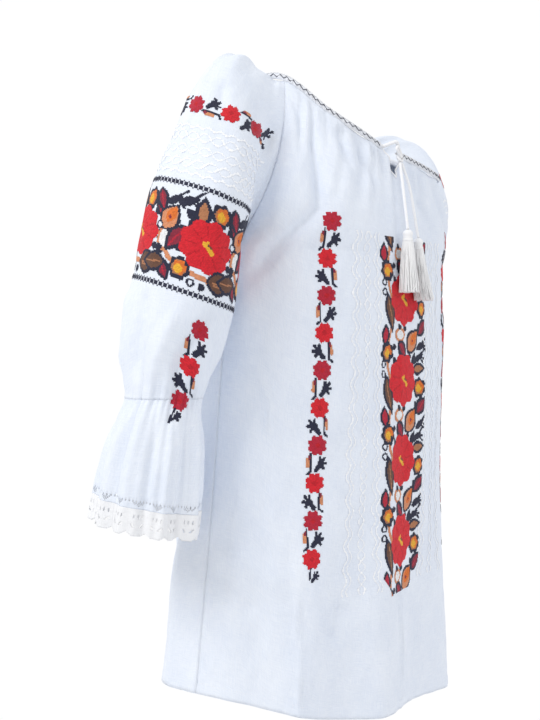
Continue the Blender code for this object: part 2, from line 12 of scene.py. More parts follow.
import bmesh
import bpy
import numpy as np
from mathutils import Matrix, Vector


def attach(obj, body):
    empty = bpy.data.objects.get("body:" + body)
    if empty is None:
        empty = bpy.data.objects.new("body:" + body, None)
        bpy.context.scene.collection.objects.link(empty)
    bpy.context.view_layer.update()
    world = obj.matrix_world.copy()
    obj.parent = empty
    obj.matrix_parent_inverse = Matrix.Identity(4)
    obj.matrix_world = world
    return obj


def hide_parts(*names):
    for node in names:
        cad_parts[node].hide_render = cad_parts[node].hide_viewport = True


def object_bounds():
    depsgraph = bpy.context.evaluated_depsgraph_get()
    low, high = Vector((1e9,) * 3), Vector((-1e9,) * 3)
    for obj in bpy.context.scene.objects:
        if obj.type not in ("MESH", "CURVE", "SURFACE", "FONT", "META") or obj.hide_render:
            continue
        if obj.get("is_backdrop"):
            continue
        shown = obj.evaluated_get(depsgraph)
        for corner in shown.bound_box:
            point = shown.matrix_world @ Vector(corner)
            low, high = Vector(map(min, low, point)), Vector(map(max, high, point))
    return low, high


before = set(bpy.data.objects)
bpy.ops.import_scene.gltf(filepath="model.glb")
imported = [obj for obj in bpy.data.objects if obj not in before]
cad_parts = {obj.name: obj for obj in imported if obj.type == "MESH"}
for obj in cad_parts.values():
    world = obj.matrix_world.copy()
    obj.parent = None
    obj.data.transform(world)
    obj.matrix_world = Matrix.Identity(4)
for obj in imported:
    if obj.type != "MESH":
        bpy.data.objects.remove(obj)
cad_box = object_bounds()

scene = bpy.context.scene
print("nodes:", sorted(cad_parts))

# %% [markdown]
# ## Camera, light and backdrop
#
# A soft-goods photograph is taken with a long lens, level with the middle of the garment, against a
# seamless pale sweep. The camera comes first, because everything after it is judged through it. The
# picture is 540 by 720, and its focal length was found in pixels, so it is turned into millimetres here.

# %% Camera
PICTURE_HEIGHT = 720
FOCAL_PIXELS = 1035
SENSOR = 36
camera_data = bpy.data.cameras.new("camera")
camera_data.sensor_fit = "VERTICAL"
camera_data.sensor_height = SENSOR
camera_data.lens = FOCAL_PIXELS / PICTURE_HEIGHT * SENSOR
camera = bpy.data.objects.new("camera", camera_data)
scene.collection.objects.link(camera)
camera.location = (-0.993, -0.584, -0.28)
camera.rotation_euler = (math.radians(90), 0, math.radians(-57))
scene.camera = camera
print("camera lens:", round(camera_data.lens, 2), "mm")

# %% Sweep, lights and sky
FLOOR_HEIGHT = -1.05
FLOOR_RADIUS = 0.95


def soft_light(name, place, target, size, power, colour):
    """A large square lamp that faces the tunic."""
    lamp = bpy.data.lights.new(name, "AREA")
    lamp.size, lamp.energy, lamp.color = size, power, colour
    holder = bpy.data.objects.new(name, lamp)
    scene.collection.objects.link(holder)
    holder.location = place
    holder.rotation_euler = (Vector(target) - Vector(place)).to_track_quat("-Z", "Y").to_euler()
    return holder


def mesh_of(bm, name):
    """Closes a bmesh and hands over its mesh."""
    mesh = bpy.data.meshes.new(name)
    bm.to_mesh(mesh)
    bm.free()
    return mesh


def sweep_material():
    made = bpy.data.materials.new("pale_sweep")
    made.use_nodes = True
    nodes, links = made.node_tree.nodes, made.node_tree.links
    shader = nodes["Principled BSDF"]
    shader.inputs["Roughness"].default_value = 0.9
    grain = nodes.new("ShaderNodeTexNoise")
    grain.inputs["Scale"].default_value = 3
    tone = nodes.new("ShaderNodeValToRGB")
    tone.color_ramp.elements[0].color = (0.90, 0.90, 0.91, 1)
    tone.color_ramp.elements[1].color = (0.94, 0.94, 0.95, 1)
    links.new(grain.outputs["Fac"], tone.inputs["Fac"])
    links.new(tone.outputs["Color"], shader.inputs["Base Color"])
    return made


sweep = bmesh.new()
bmesh.ops.create_circle(sweep, cap_ends=True, segments=96, radius=FLOOR_RADIUS)
bmesh.ops.translate(sweep, vec=(0, 0, FLOOR_HEIGHT), verts=sweep.verts)
floor = bpy.data.objects.new("floor", mesh_of(sweep, "floor"))
scene.collection.objects.link(floor)
floor.data.materials.append(sweep_material())
floor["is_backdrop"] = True

CHEST = (0, 0, -0.3)
soft_light("window", (-2.4, 0.4, 1.5), CHEST, 1.3, 33, (1.0, 0.985, 0.965))
soft_light("fill", (1.4, -2.4, 0.6), CHEST, 2.0, 11, (0.94, 0.96, 1.0))
soft_light("rim", (0.4, 2.4, 1.2), CHEST, 1.6, 8, (0.96, 0.97, 1.0))

sky = bpy.data.worlds.new("studio")
sky.use_nodes = True
background = sky.node_tree.nodes["Background"]
background.inputs["Color"].default_value = (0.985, 0.99, 1.0, 1)
# The studio wall is brighter than the light that it sends on to the cloth.
seen = sky.node_tree.nodes.new("ShaderNodeLightPath")
strength = sky.node_tree.nodes.new("ShaderNodeMapRange")
strength.inputs["To Min"].default_value = 0.80
strength.inputs["To Max"].default_value = 1.02
sky.node_tree.links.new(seen.outputs["Is Camera Ray"], strength.inputs["Value"])
sky.node_tree.links.new(strength.outputs["Result"], background.inputs["Strength"])
scene.world = sky
scene.view_settings.view_transform = "Standard"

# %% [markdown]
# ## The form of the cloth
#
# A pattern cutter thinks of each panel as a flat piece with a place across it and a place down it. The
# same two numbers are used here: *across* runs from -1 to 1 between a panel's seams, and *down* is 0 at
# the neckline, 1 at the underarm and 2 at the hem. A few tables give the neckline, the body and the
# sleeves at chosen heights, and smooth curves run through them. NumPy works out a whole panel at once.

# %% Tables of the form
UNDERARM = -0.170
HEM_FRONT = -0.646
HEM_RIGHT = -0.602
HEM_LEFT = -0.680
HEM_BACK = -0.618
ELBOW = -0.316
CUFF = -0.414
LACE_DEPTH = 0.024
SCALLOPS = 18
RAGLAN_FRONT = 78
RAGLAN_BACK = 122
LEFT_FULLNESS_TOP = 0.205
LEFT_FULLNESS_HEM = 0.125
# How the middle of each sleeve leaves the neckline and comes to the underarm. The left head puffs up.
SLEEVE_HEADS = {
    -1: ((-0.080, -0.004, 0.074), (0.012, -0.010, 0.072)),
    1: ((0.095, -0.045, 0.085), (-0.025, -0.040, 0.105)),
}
SIDES = ((-1, "right"), (1, "left"))
SLIT_OPENING = 0.12
SLIT_DEPTH = 0.24
# The frills hang lower towards the front: the slope, and the level direction in which they rise.
CUFF_TILT = 0.19
CUFF_LEAN = (0.545, 0.839)

# angle from the front centre, radius, height; the neckline has slipped down the wearer's left shoulder
NECKLINE = np.array(
    [
        (-180, 0.080, 0.010),
        (-135, 0.090, 0.010),
        (-100, 0.099, 0.009),
        (-78, 0.101, 0.005),
        (-51, 0.096, -0.0296),
        (-19, 0.092, -0.0547),
        (0, 0.092, -0.0606),
        (25, 0.108, -0.0665),
        (45, 0.143, -0.0745),
        (62, 0.163, -0.068),
        (90, 0.160, -0.034),
        (130, 0.115, -0.004),
        (180, 0.080, 0.010),
    ]
)
# height, half width, y of the sides, y of the front, y of the back
BODY = np.array(
    [
        (-0.650, 0.199, 0.021, -0.106, 0.145),
        (-0.580, 0.191, 0.020, -0.104, 0.141),
        (-0.500, 0.182, 0.018, -0.103, 0.135),
        (-0.400, 0.172, 0.015, -0.104, 0.128),
        (-0.320, 0.167, 0.012, -0.106, 0.123),
        (-0.240, 0.163, 0.008, -0.107, 0.118),
        (-0.170, 0.160, 0.004, -0.105, 0.114),
    ]
)
# height, x of the middle, y of the middle, half width, half depth, 1 where the ring has a corner
SLEEVE = np.array(
    [
        (-0.445, 0.2410, 0.046, 0.0490, 0.0490, 0.0),
        (-0.414, 0.2400, 0.042, 0.0480, 0.0480, 0.0),
        (-0.380, 0.2390, 0.037, 0.0460, 0.0460, 0.0),
        (-0.350, 0.2380, 0.032, 0.0420, 0.0420, 0.0),
        (-0.330, 0.2370, 0.028, 0.0375, 0.0375, 0.0),
        (-0.316, 0.2360, 0.025, 0.0345, 0.0345, 0.0),
        (-0.300, 0.2345, 0.022, 0.0385, 0.0385, 0.0),
        (-0.275, 0.2315, 0.018, 0.0445, 0.0445, 0.0),
        (-0.240, 0.2265, 0.012, 0.0500, 0.0495, 0.2),
        (-0.200, 0.2185, 0.007, 0.0505, 0.0500, 0.6),
        (-0.170, 0.2115, 0.004, 0.0515, 0.0490, 1.0),
    ]
)


def read_table(rows, key, column):
    """A column of a table on a smooth curve through its rows."""
    knots, values = rows[:, 0], rows[:, column]
    key = np.clip(key, knots[0], knots[-1])
    low = np.clip(np.searchsorted(knots, key, side="right") - 1, 0, len(knots) - 2)
    before, high = np.maximum(low - 1, 0), low + 1
    after = np.minimum(low + 2, len(knots) - 1)
    span = knots[high] - knots[low]
    share = (key - knots[low]) / span
    slope0 = (values[high] - values[before]) / (knots[high] - knots[before]) * span
    slope1 = (values[after] - values[low]) / (knots[after] - knots[low]) * span
    s2, s3 = share**2, share**3
    return (
        values[low] * (2 * s3 - 3 * s2 + 1)
        + slope0 * (s3 - 2 * s2 + share)
        + values[high] * (3 * s2 - 2 * s3)
        + slope1 * (s3 - s2)
    )


def mix(a, b, share):
    return a + (b - a) * share


def smooth(share):
    share = np.clip(share, 0.0, 1.0)
    return share * share * (3.0 - 2.0 * share)


def points(x, y, z):
    """Three arrays as one array of points."""
    return np.stack(np.broadcast_arrays(x, y, z), axis=-1)


# %% The neckline, the body and the sleeves


def neck(angle):
    angle = (angle + 180) % 360 - 180
    radius, height = read_table(NECKLINE, angle, 1), read_table(NECKLINE, angle, 2)
    turn = np.radians(angle)
    return points(radius * np.sin(turn), -radius * np.cos(turn), height)


def body_ring(angle, height):
    half_width, side_y = read_table(BODY, height, 1), read_table(BODY, height, 2)
    turn = np.radians(angle)
    sine, cosine = np.sin(turn), np.cos(turn)
    facing = np.where(cosine > 0, read_table(BODY, height, 3), read_table(BODY, height, 4))
    share = np.clip((UNDERARM - height) / (UNDERARM - HEM_LEFT), 0, 1)
    fullness = mix(LEFT_FULLNESS_TOP, LEFT_FULLNESS_HEM, share)
    fuller = 1 + fullness * (np.maximum(0, sine) * np.maximum(0, cosine) * 2) ** 1.5
    return points(half_width * sine * fuller, side_y - np.abs(facing - side_y) * cosine * fuller, height)


print("underarm point:", body_ring(np.array(-90.0), UNDERARM).round(4))

# %% Rings round the sleeve


def sleeve_ring(side, around, height):
    turn = np.pi * around
    point = np.clip(read_table(SLEEVE, height, 5), 0, 1)
    corner = mix(1.0, 1.3 * np.maximum(0.0, np.cos(turn / 2)), point)
    aside = read_table(SLEEVE, height, 3) * np.cos(turn)
    behind = read_table(SLEEVE, height, 4) * np.sin(turn) * corner
    tilt = CUFF_TILT * smooth((ELBOW - height) / (ELBOW - CUFF))
    lowered = tilt * (CUFF_LEAN[0] * aside + CUFF_LEAN[1] * behind)
    x = side * (read_table(SLEEVE, height, 1) + aside)
    return points(x, read_table(SLEEVE, height, 2) + behind, height + lowered)


print("middle of the cuff:", sleeve_ring(1, np.array([0.0, 1.0]), CUFF).mean(axis=0).round(4))

# %% Body panels


def bezier(p0, h0, h1, p3, share):
    """A curve from p0 to p3 that leaves along h0 and arrives from h1."""
    share = share[..., None]
    rest = 1 - share
    return (
        p0 * rest**3
        + (p0 + h0) * (3 * rest * rest * share)
        + (p3 + h1) * (3 * rest * share * share)
        + p3 * share**3
    )


def handles(across, side, facing, leave_middle, arrive_middle, power=2):
    """How a panel leaves the neckline and comes to the underarm, from its middle to its raglan seams."""
    middle = (np.maximum(0, np.cos(np.pi / 2 * across)) ** power)[..., None]
    leave = points(side * 0.012, facing * 0.012, -0.055)
    arrive = points(side * -0.012, facing * np.where(facing > 0, 0.034, 0.045), 0.050)
    leave_middle, arrive_middle = (points(*way) for way in (leave_middle, arrive_middle))
    return mix(leave, leave_middle, middle), mix(arrive, arrive_middle, middle)


def hem_height(angle):
    front, left = np.cos(np.radians(angle)), np.sin(np.radians(angle))
    end = np.where(front > 0, HEM_FRONT, HEM_BACK)
    side = np.where(left > 0, HEM_LEFT, HEM_RIGHT)
    return end * front * front + side * left * left


def panel_angle(across, facing):
    """The angle from the front centre at a place of the front, which faces 1, or of the back, -1."""
    return 90 * across if facing > 0 else 180 - 90 * across


def body_panel(across, down, neck_angle, angle, facing, leave_middle, arrive_middle):
    side = np.where(across > 0, 1, -1)
    leave, arrive = handles(across, side, facing, leave_middle, arrive_middle)
    yoke = bezier(neck(neck_angle), leave, arrive, body_ring(angle, UNDERARM), np.minimum(down, 1))
    below = body_ring(angle, mix(UNDERARM, hem_height(angle), np.maximum(down - 1, 0)))
    return np.where((down <= 1)[..., None], yoke, below)


def front_surface(across, down):
    top, angle = RAGLAN_FRONT * across, panel_angle(across, 1)
    return body_panel(across, down, top, angle, -1, (0, -0.006, -0.036), (0, 0, 0.036))


def back_surface(across, down):
    """across is -1 at the wearer's right seam and 1 at the left one, as on the front."""
    top, angle = 180 - (180 - RAGLAN_BACK) * across, panel_angle(across, -1)
    return body_panel(across, down, top, angle, 1, (0, 0.020, -0.045), (0, 0, 0.060))


def sleeve_surface(side):
    """around is 0 outside, -1 at the front and 1 at the back; below 1, down grows by the depth itself."""

    def surface(around, down):
        facing = np.where(around > 0, 1, -1)
        leave, arrive = handles(around, side, facing, *SLEEVE_HEADS[side], power=1)
        angle = mix(RAGLAN_FRONT, RAGLAN_BACK, (around + 1) / 2)
        end = sleeve_ring(side, around, UNDERARM)
        yoke = bezier(neck(side * angle), leave, arrive, end, np.minimum(down, 1))
        below = sleeve_ring(side, around, UNDERARM - np.maximum(down - 1, 0))
        return np.where((down <= 1)[..., None], yoke, below)

    return surface


def unit(vectors):
    return vectors / np.maximum(np.linalg.norm(vectors, axis=-1, keepdims=True), 1e-12)


def run_along(course):
    """How far each point of a course lies from its start."""
    return np.concatenate([[0], np.cumsum(np.linalg.norm(np.diff(course, axis=0), axis=1))])


def outward(surface, across, down, lowest):
    step = 0.004
    left, right = np.maximum(-1.0, across - step), np.minimum(1.0, across + step)
    above, below = np.maximum(0.0, down - step), np.minimum(lowest, down + step)
    along = surface(right, down) - surface(left, down)
    fall = surface(across, below) - surface(across, above)
    return unit(np.cross(fall, along))


print("middle of the back at the underarm:", back_surface(np.zeros(1), np.ones(1)).round(4))

# %% [markdown]
# ## Flat measures of a panel
#
# Embroidery is worked on a flat chart, so each panel also needs flat measures: how far a place lies from
# the panel's middle along the cloth, and at what height. A table of both is made once for each panel.
# Reading it the other way round, from flat measures to a place on the panel, takes a few Newton steps.

# %% Flat measures


class FlatMeasures:
    """Distance from the middle and drop, for places on a panel, and the way back."""

    HALF, DEEP = 120, 360

    def __init__(self, surface, lowest, drop):
        self.lowest = lowest
        across = np.linspace(-1, 1, 2 * self.HALF + 1)
        across, down = np.meshgrid(across, np.linspace(0, lowest, self.DEEP + 1))
        cloth = surface(across, down)
        steps = np.linalg.norm(np.diff(cloth, axis=1), axis=-1)
        run = np.concatenate([np.zeros((self.DEEP + 1, 1)), np.cumsum(steps, axis=1)], axis=1)
        self.aside = run - run[:, self.HALF : self.HALF + 1]
        self.drop = drop(cloth)

    def read(self, table, across, down):
        i = np.clip(down / self.lowest * self.DEEP, 0, self.DEEP - 0.001)
        j = np.clip((across + 1) * self.HALF, 0, 2 * self.HALF - 0.001)
        i0, j0 = i.astype(int), j.astype(int)
        fi, fj = i - i0, j - j0
        top = mix(table[i0, j0], table[i0, j0 + 1], fj)
        return mix(top, mix(table[i0 + 1, j0], table[i0 + 1, j0 + 1], fj), fi)

    def slopes(self, table, across, down, step=0.004):
        value = self.read(table, across, down)
        to_side, lower = self.read(table, across + step, down), self.read(table, across, down + step)
        return value, (to_side - value) / step, (lower - value) / step

    def find(self, aside, drop):
        """The places on the panel that have these flat measures."""
        across, down = np.clip(aside / 0.2, -0.9, 0.9), np.full_like(aside, 0.9)
        for _ in range(14):
            a, a_across, a_down = self.slopes(self.aside, across, down)
            b, b_across, b_down = self.slopes(self.drop, across, down)
            turn = a_across * b_down - a_down * b_across
            turn = np.where(np.abs(turn) < 1e-9, 1e-9, turn)
            miss_a, miss_b = aside - a, drop - b
            move_across = (miss_a * b_down - miss_b * a_down) / turn
            move_down = (a_across * miss_b - b_across * miss_a) / turn
            across = np.clip(across + np.clip(move_across, -0.2, 0.2), -0.999, 0.99)
            down = np.clip(down + np.clip(move_down, -0.2, 0.2), 0.001, self.lowest - 0.005)
        return across, down


SLEEVE_TILT = 0.34
SLEEVE_LOWEST = 1.27


def sleeve_drop(side):
    """Drop along a sleeve: a ring round the arm lies lower at the front than at the back."""
    lean = np.array((side * 0.545, 0.839))
    middle = np.array((side * 0.2115, 0.004))
    return lambda cloth: -cloth[..., 2] + SLEEVE_TILT * ((cloth[..., :2] - middle) @ lean)


front_flat = FlatMeasures(front_surface, 2.0, lambda cloth: -cloth[..., 2])
back_flat = FlatMeasures(back_surface, 2.0, lambda cloth: -cloth[..., 2])
sleeve_flat = {
    side: FlatMeasures(sleeve_surface(side), SLEEVE_LOWEST, sleeve_drop(side)) for side, _ in SIDES
}
print("front hem:", round(2 * float(front_flat.aside[-1, -1]), 3), "m across")

# %% [markdown]
# ## Folds, gathers and creases
#
# Cloth that is drawn onto a narrower edge stands in gathers, and cloth that hangs from the bust or from an
# arm falls in long soft folds. Simulation would give folds of its own, and not those of this tunic, so the
# folds are drawn one by one. Each one is a line down the panel with a width and a lift, and they add up to
# how far the cloth moves out along its own outward direction. Pressed creases are thinner lines of the same
# kind.

# %% Drawn folds
# across at the top, across at the bottom, width, lift, top height, bottom height
FRONT_FOLDS = (
    (-0.34, -0.38, 0.050, -0.0035, -0.030, -0.130),
    (-0.18, -0.22, 0.050, -0.0030, -0.040, -0.150),
    (-0.88, -0.86, 0.110, 0.0060, -0.030, -0.330),
    (-0.10, -0.17, 0.080, 0.0070, -0.330, -0.900),
    (-0.29, -0.33, 0.080, -0.0050, -0.400, -0.860),
    (-0.50, -0.55, 0.070, 0.0050, -0.420, -0.880),
    (-0.74, -0.70, 0.080, -0.0040, -0.300, -0.860),
    (0.12, 0.10, 0.080, -0.0050, -0.380, -0.880),
    (0.34, 0.36, 0.090, 0.0060, -0.360, -0.880),
    (0.62, 0.60, 0.080, -0.0050, -0.340, -0.900),
    (0.82, 0.84, 0.080, 0.0040, -0.300, -0.860),
    (0.24, 0.26, 0.050, -0.0040, -0.050, -0.170),
    (0.46, 0.50, 0.055, -0.0060, -0.050, -0.190),
    (0.68, 0.74, 0.050, -0.0050, -0.040, -0.170),
    (0.86, 0.88, 0.110, 0.0050, -0.060, -0.320),
)
BACK_FOLDS = (
    (-0.80, -0.78, 0.080, 0.0050, -0.260, -0.860),
    (-0.52, -0.56, 0.080, -0.0050, -0.240, -0.900),
    (-0.24, -0.22, 0.090, 0.0060, -0.330, -0.880),
    (0.04, 0.02, 0.090, -0.0050, -0.220, -0.880),
    (0.30, 0.34, 0.090, 0.0065, -0.300, -0.900),
    (0.60, 0.58, 0.080, -0.0050, -0.270, -0.860),
    (0.84, 0.82, 0.080, 0.0045, -0.320, -0.880),
    (-0.40, -0.44, 0.060, -0.0050, -0.010, -0.150),
    (0.10, 0.12, 0.060, -0.0045, -0.010, -0.170),
    (0.50, 0.54, 0.060, -0.0050, -0.010, -0.140),
)
CREASE_DEPTH = 1.45
# lift, width, and the line it follows in millimetres from the middle and below the shoulders
FRONT_CREASES = (
    (-0.0060, 0.0080, ((-113, 28), (-118, 80), (-122, 128), (-160, 165), (-203, 211))),
    (-0.0035, 0.0060, ((-146, 12), (-131, 33), (-136, 90))),
    (-0.0030, 0.0060, ((-84, 41), (-72, 90))),
    (-0.0030, 0.0065, ((-61, 44), (-34, 106))),
    (0.0016, 0.0030, ((-186, 286), (-173, 325), (-177, 358))),
    (-0.0040, 0.0120, ((-236, 482), (-188, 529))),
    (0.0030, 0.0120, ((-216, 462), (-157, 502))),
    (0.0020, 0.0026, ((-149, 500), (-155, 640))),
    (0.0028, 0.0030, ((3, 522), (-3, 660))),
    (-0.0035, 0.0100, ((-96, 520), (-112, 560))),
    (-0.0030, 0.0110, ((150, 300), (196, 360), (214, 430))),
    (-0.0040, 0.0085, ((110, 66), (126, 130), (170, 180))),
    (-0.0030, 0.0065, ((60, 66), (48, 120))),
    (0.0018, 0.0030, ((150, 560), (156, 660))),
    (-0.0035, 0.0120, ((226, 470), (184, 540))),
)
BACK_CREASES = (
    (-0.0045, 0.0090, ((-150, 110), (-110, 190), (-60, 240))),
    (-0.0045, 0.0090, ((150, 110), (112, 190), (64, 244))),
    (0.0022, 0.0030, ((0, 470), (2, 640))),
    (-0.0035, 0.0110, ((-190, 430), (-120, 500))),
    (-0.0035, 0.0110, ((196, 410), (128, 500))),
)
# the same for the sleeves, whose lines run from the outside of the arm and from its top
SLEEVE_CREASES = (
    (-0.0040, 0.0070, ((-96, 14), (-104, 60), (-122, 120), (-134, 170))),
    (-0.0028, 0.0060, ((-62, 10), (-72, 50))),
    (-0.0024, 0.0060, ((-20, 6), (-26, 40))),
    (-0.0028, 0.0060, ((34, 8), (40, 46))),
    (-0.0036, 0.0080, ((-110, 225), (-78, 268), (-60, 318))),
    (-0.0030, 0.0070, ((-66, 232), (-36, 285), (-30, 318))),
    (0.0028, 0.0070, ((-30, 236), (-14, 290), (-10, 320))),
    (-0.0036, 0.0070, ((6, 228), (10, 280), (12, 320))),
    (0.0028, 0.0070, ((40, 232), (36, 280), (32, 320))),
    (-0.0036, 0.0080, ((84, 225), (70, 280), (56, 320))),
    (-0.0034, 0.0080, ((120, 120), (110, 190), (104, 250))),
)
print("creases drawn:", len(FRONT_CREASES) + len(BACK_CREASES) + len(SLEEVE_CREASES))

# %% What folds and creases lift


def fold_lift(folds, across, height):
    lift = 0.0
    for top_across, low_across, width, rise, top, bottom in folds:
        share = (top - height) / (top - bottom)
        middle = mix(top_across, low_across, share)
        inside = np.sin(np.pi * np.clip(share, 0, 1))
        lift = lift + rise * inside * np.exp(-(((across - middle) / width) ** 2))
    return lift


def crease_lift(creases, aside, drop):
    """Thin folds that follow lines on the cloth and run out at both ends."""
    lift = np.zeros_like(aside)
    for rise, width, line in creases:
        line = np.array(line) / 1000
        run = run_along(line)
        nearest, place = np.full_like(aside, 9.0), np.zeros_like(aside)
        for i, length in enumerate(np.linalg.norm(np.diff(line, axis=0), axis=1)):
            way = (line[i + 1] - line[i]) / length
            x, y = aside - line[i, 0], drop - line[i, 1]
            held = np.clip(x * way[0] + y * way[1], 0, length)
            away = np.hypot(x - held * way[0], y - held * way[1])
            closer = away < nearest
            nearest = np.where(closer, away, nearest)
            place = np.where(closer, (run[i] + held) / run[-1], place)
        ends = smooth(place / 0.18) * smooth((1 - place) / 0.25)
        lift += CREASE_DEPTH * rise * np.exp(-((nearest / width) ** 2)) * mix(0.15, 1.0, ends)
    return lift


# %% Gathers and crinkles


def gather_lift(across, count, below):
    """Gathers under a drawn edge: broad ones that reach far down, and small ones between them."""
    wander = 0.030 * np.sin(9 * across + 1) + 0.014 * np.sin(23 * across)
    uneven = 0.75 + 0.25 * np.sin(5 * across + 2)
    broad = 0.0027 * np.sin(np.pi * count * (across + wander)) * uneven * np.exp(-below / 0.060)
    small = np.sin(np.pi * 2.7 * count * (across + 0.6 * wander) + 1.3) * (0.7 + 0.3 * np.sin(17 * across))
    return (broad + 0.0009 * small * np.exp(-below / 0.020)) * smooth(below / 0.008)


CRINKLE_CELLS = 96


def crinkle(u, v, width, height, seed):
    """A smooth random relief between -1 and 1, with cells of the given size."""
    random = np.random.RandomState(seed)
    table = random.uniform(-1, 1, (CRINKLE_CELLS, CRINKLE_CELLS))
    x, y = u / width + 40, v / height + 7
    x0, y0 = np.floor(x).astype(int), np.floor(y).astype(int)
    fx, fy = smooth(x - x0), smooth(y - y0)

    def corner(i, j):
        return table[(y0 + i) % CRINKLE_CELLS, (x0 + j) % CRINKLE_CELLS]

    return mix(mix(corner(0, 0), corner(0, 1), fx), mix(corner(1, 0), corner(1, 1), fx), fy)


def soft_wrinkles(u, v, seed):
    return (
        0.0017 * crinkle(u, v, 0.030, 0.075, seed)
        + 0.0010 * crinkle(u + 0.3 * v, v, 0.014, 0.034, seed + 1)
        + 0.00036 * crinkle(u, v, 0.006, 0.009, seed + 2)
    )


def seam_tuck(to_seam, along):
    """The cloth dips into its seam and puckers a little beside it."""
    dip = -0.0006 * np.exp(-((to_seam / 0.0028) ** 2))
    pucker = 0.00045 * np.sin(along * 620 + 3 * np.sin(along * 90)) * np.exp(-to_seam / 0.007)
    return dip + pucker * smooth(to_seam / 0.0015)


HEM_DEPTH = 0.010


def hem_lift(above_hem):
    """The hem is turned up twice, so it stands proud below its line of stitches."""
    turned = 0.0007 * smooth((HEM_DEPTH - above_hem) / 0.0012)
    groove = -0.0004 * np.exp(-(((above_hem - HEM_DEPTH) / 0.0014) ** 2))
    return np.where(above_hem > 0.05, 0.0, turned + groove)

# %% The cloth of the body
FRONT_GATHERS = 16
BACK_GATHERS = 11
SLEEVE_TOP_GATHERS = 6


def edge_fade(across):
    return smooth((1 - np.abs(across)) / 0.12)


def distance_to_seam(flat, across, down):
    return (1 - np.abs(across)) * np.abs(flat.read(flat.aside, np.sign(across) * 0.999, down))


def body_cloth(surface, flat, folds, creases, gathers, reach, facing, seed):
    """The cloth of a body panel: a function of the place on it and of the height over it."""

    def cloth(across, down, height=0.0):
        place = surface(across, down)
        aside, drop = flat.read(flat.aside, across, down), flat.read(flat.drop, across, down)
        below = np.where(down <= 1, down * reach, 1.0)
        lift = fold_lift(folds, across, place[..., 2]) + gather_lift(across, gathers, below)
        lift = lift + crease_lift(creases, aside, drop) + soft_wrinkles(aside, drop, seed)
        lift = lift * edge_fade(across) + seam_tuck(distance_to_seam(flat, across, down), drop)
        lift = lift + hem_lift(place[..., 2] - hem_height(panel_angle(across, facing)))
        return place + outward(surface, across, down, 2.0) * facing * (lift + height)[..., None]

    return cloth


front_cloth = body_cloth(
    front_surface, front_flat, FRONT_FOLDS, FRONT_CREASES, FRONT_GATHERS, 0.11, facing=1, seed=5
)
back_cloth = body_cloth(
    back_surface, back_flat, BACK_FOLDS, BACK_CREASES, BACK_GATHERS, 0.16, facing=-1, seed=11
)
print("front gathers under the binding:", FRONT_GATHERS)

# %% The cloth of the sleeves
ELBOW_GATHERS = 13
ELBOW_GATHER_LIFT = 0.0016
FRILL_WAVES = 9
FRILL_WAVE_LIFT = 0.0026


def sleeve_cloth(side):
    surface, flat = sleeve_surface(side), sleeve_flat[side]

    def cloth(around, down, height=0.0):
        place = surface(around, down)
        away = outward(surface, around, down, 1.3) * side
        aside, drop = flat.read(flat.aside, around, down), flat.read(flat.drop, around, down)
        z = UNDERARM - np.maximum(down - 1, 0)
        turn = np.pi * (around + 1)
        top = gather_lift(around, SLEEVE_TOP_GATHERS, np.where(down <= 1, down * 0.2, 1.0))
        near = np.where(z > ELBOW, np.exp(-(z - ELBOW) / 0.030), np.exp(-(ELBOW - z) / 0.040))
        uneven = 0.8 + 0.3 * np.sin(3 * turn + 1)
        elbow = ELBOW_GATHER_LIFT * np.cos(ELBOW_GATHERS * turn + 0.7 * np.sin(2 * turn)) * uneven * near
        small = 0.0008 * np.cos(37 * turn + 1.5 * np.sin(3 * turn)) * near**2
        flare = smooth((ELBOW - z) / 0.05)
        waves = FRILL_WAVE_LIFT * np.cos(FRILL_WAVES * turn + 0.6 * np.sin(2 * turn)) * flare
        waves = waves + 0.0010 * np.cos(23 * turn + 2 * np.sin(3 * turn)) * flare
        lift = crease_lift(SLEEVE_CREASES, aside, drop) + soft_wrinkles(aside, drop, 23 + side)
        open_fade = np.where(down <= 1, edge_fade(around), smooth((1 - np.abs(around)) / 0.03))
        lift = (lift + top) * open_fade + seam_tuck(distance_to_seam(flat, around, down), drop)
        lift = lift + np.where(down > 1, elbow + small + waves, 0)
        return place + away * (lift + height)[..., None]

    return cloth


print("waves round a frill:", FRILL_WAVES)

# %% [markdown]
# ## Finishes
#
# The cloth is a fine, slightly uneven cotton. Up close it shows its threads, and from a step away only a
# soft grain of thicker and thinner yarns. Both are made from a UV map that is measured in metres along the
# cloth, so the threads follow the panel round the body instead of being cut through it. Cotton scatters
# light at its fuzzy surface, which is what the sheen stands for. Thread and lace get finishes of their own.

# %% Finish helpers


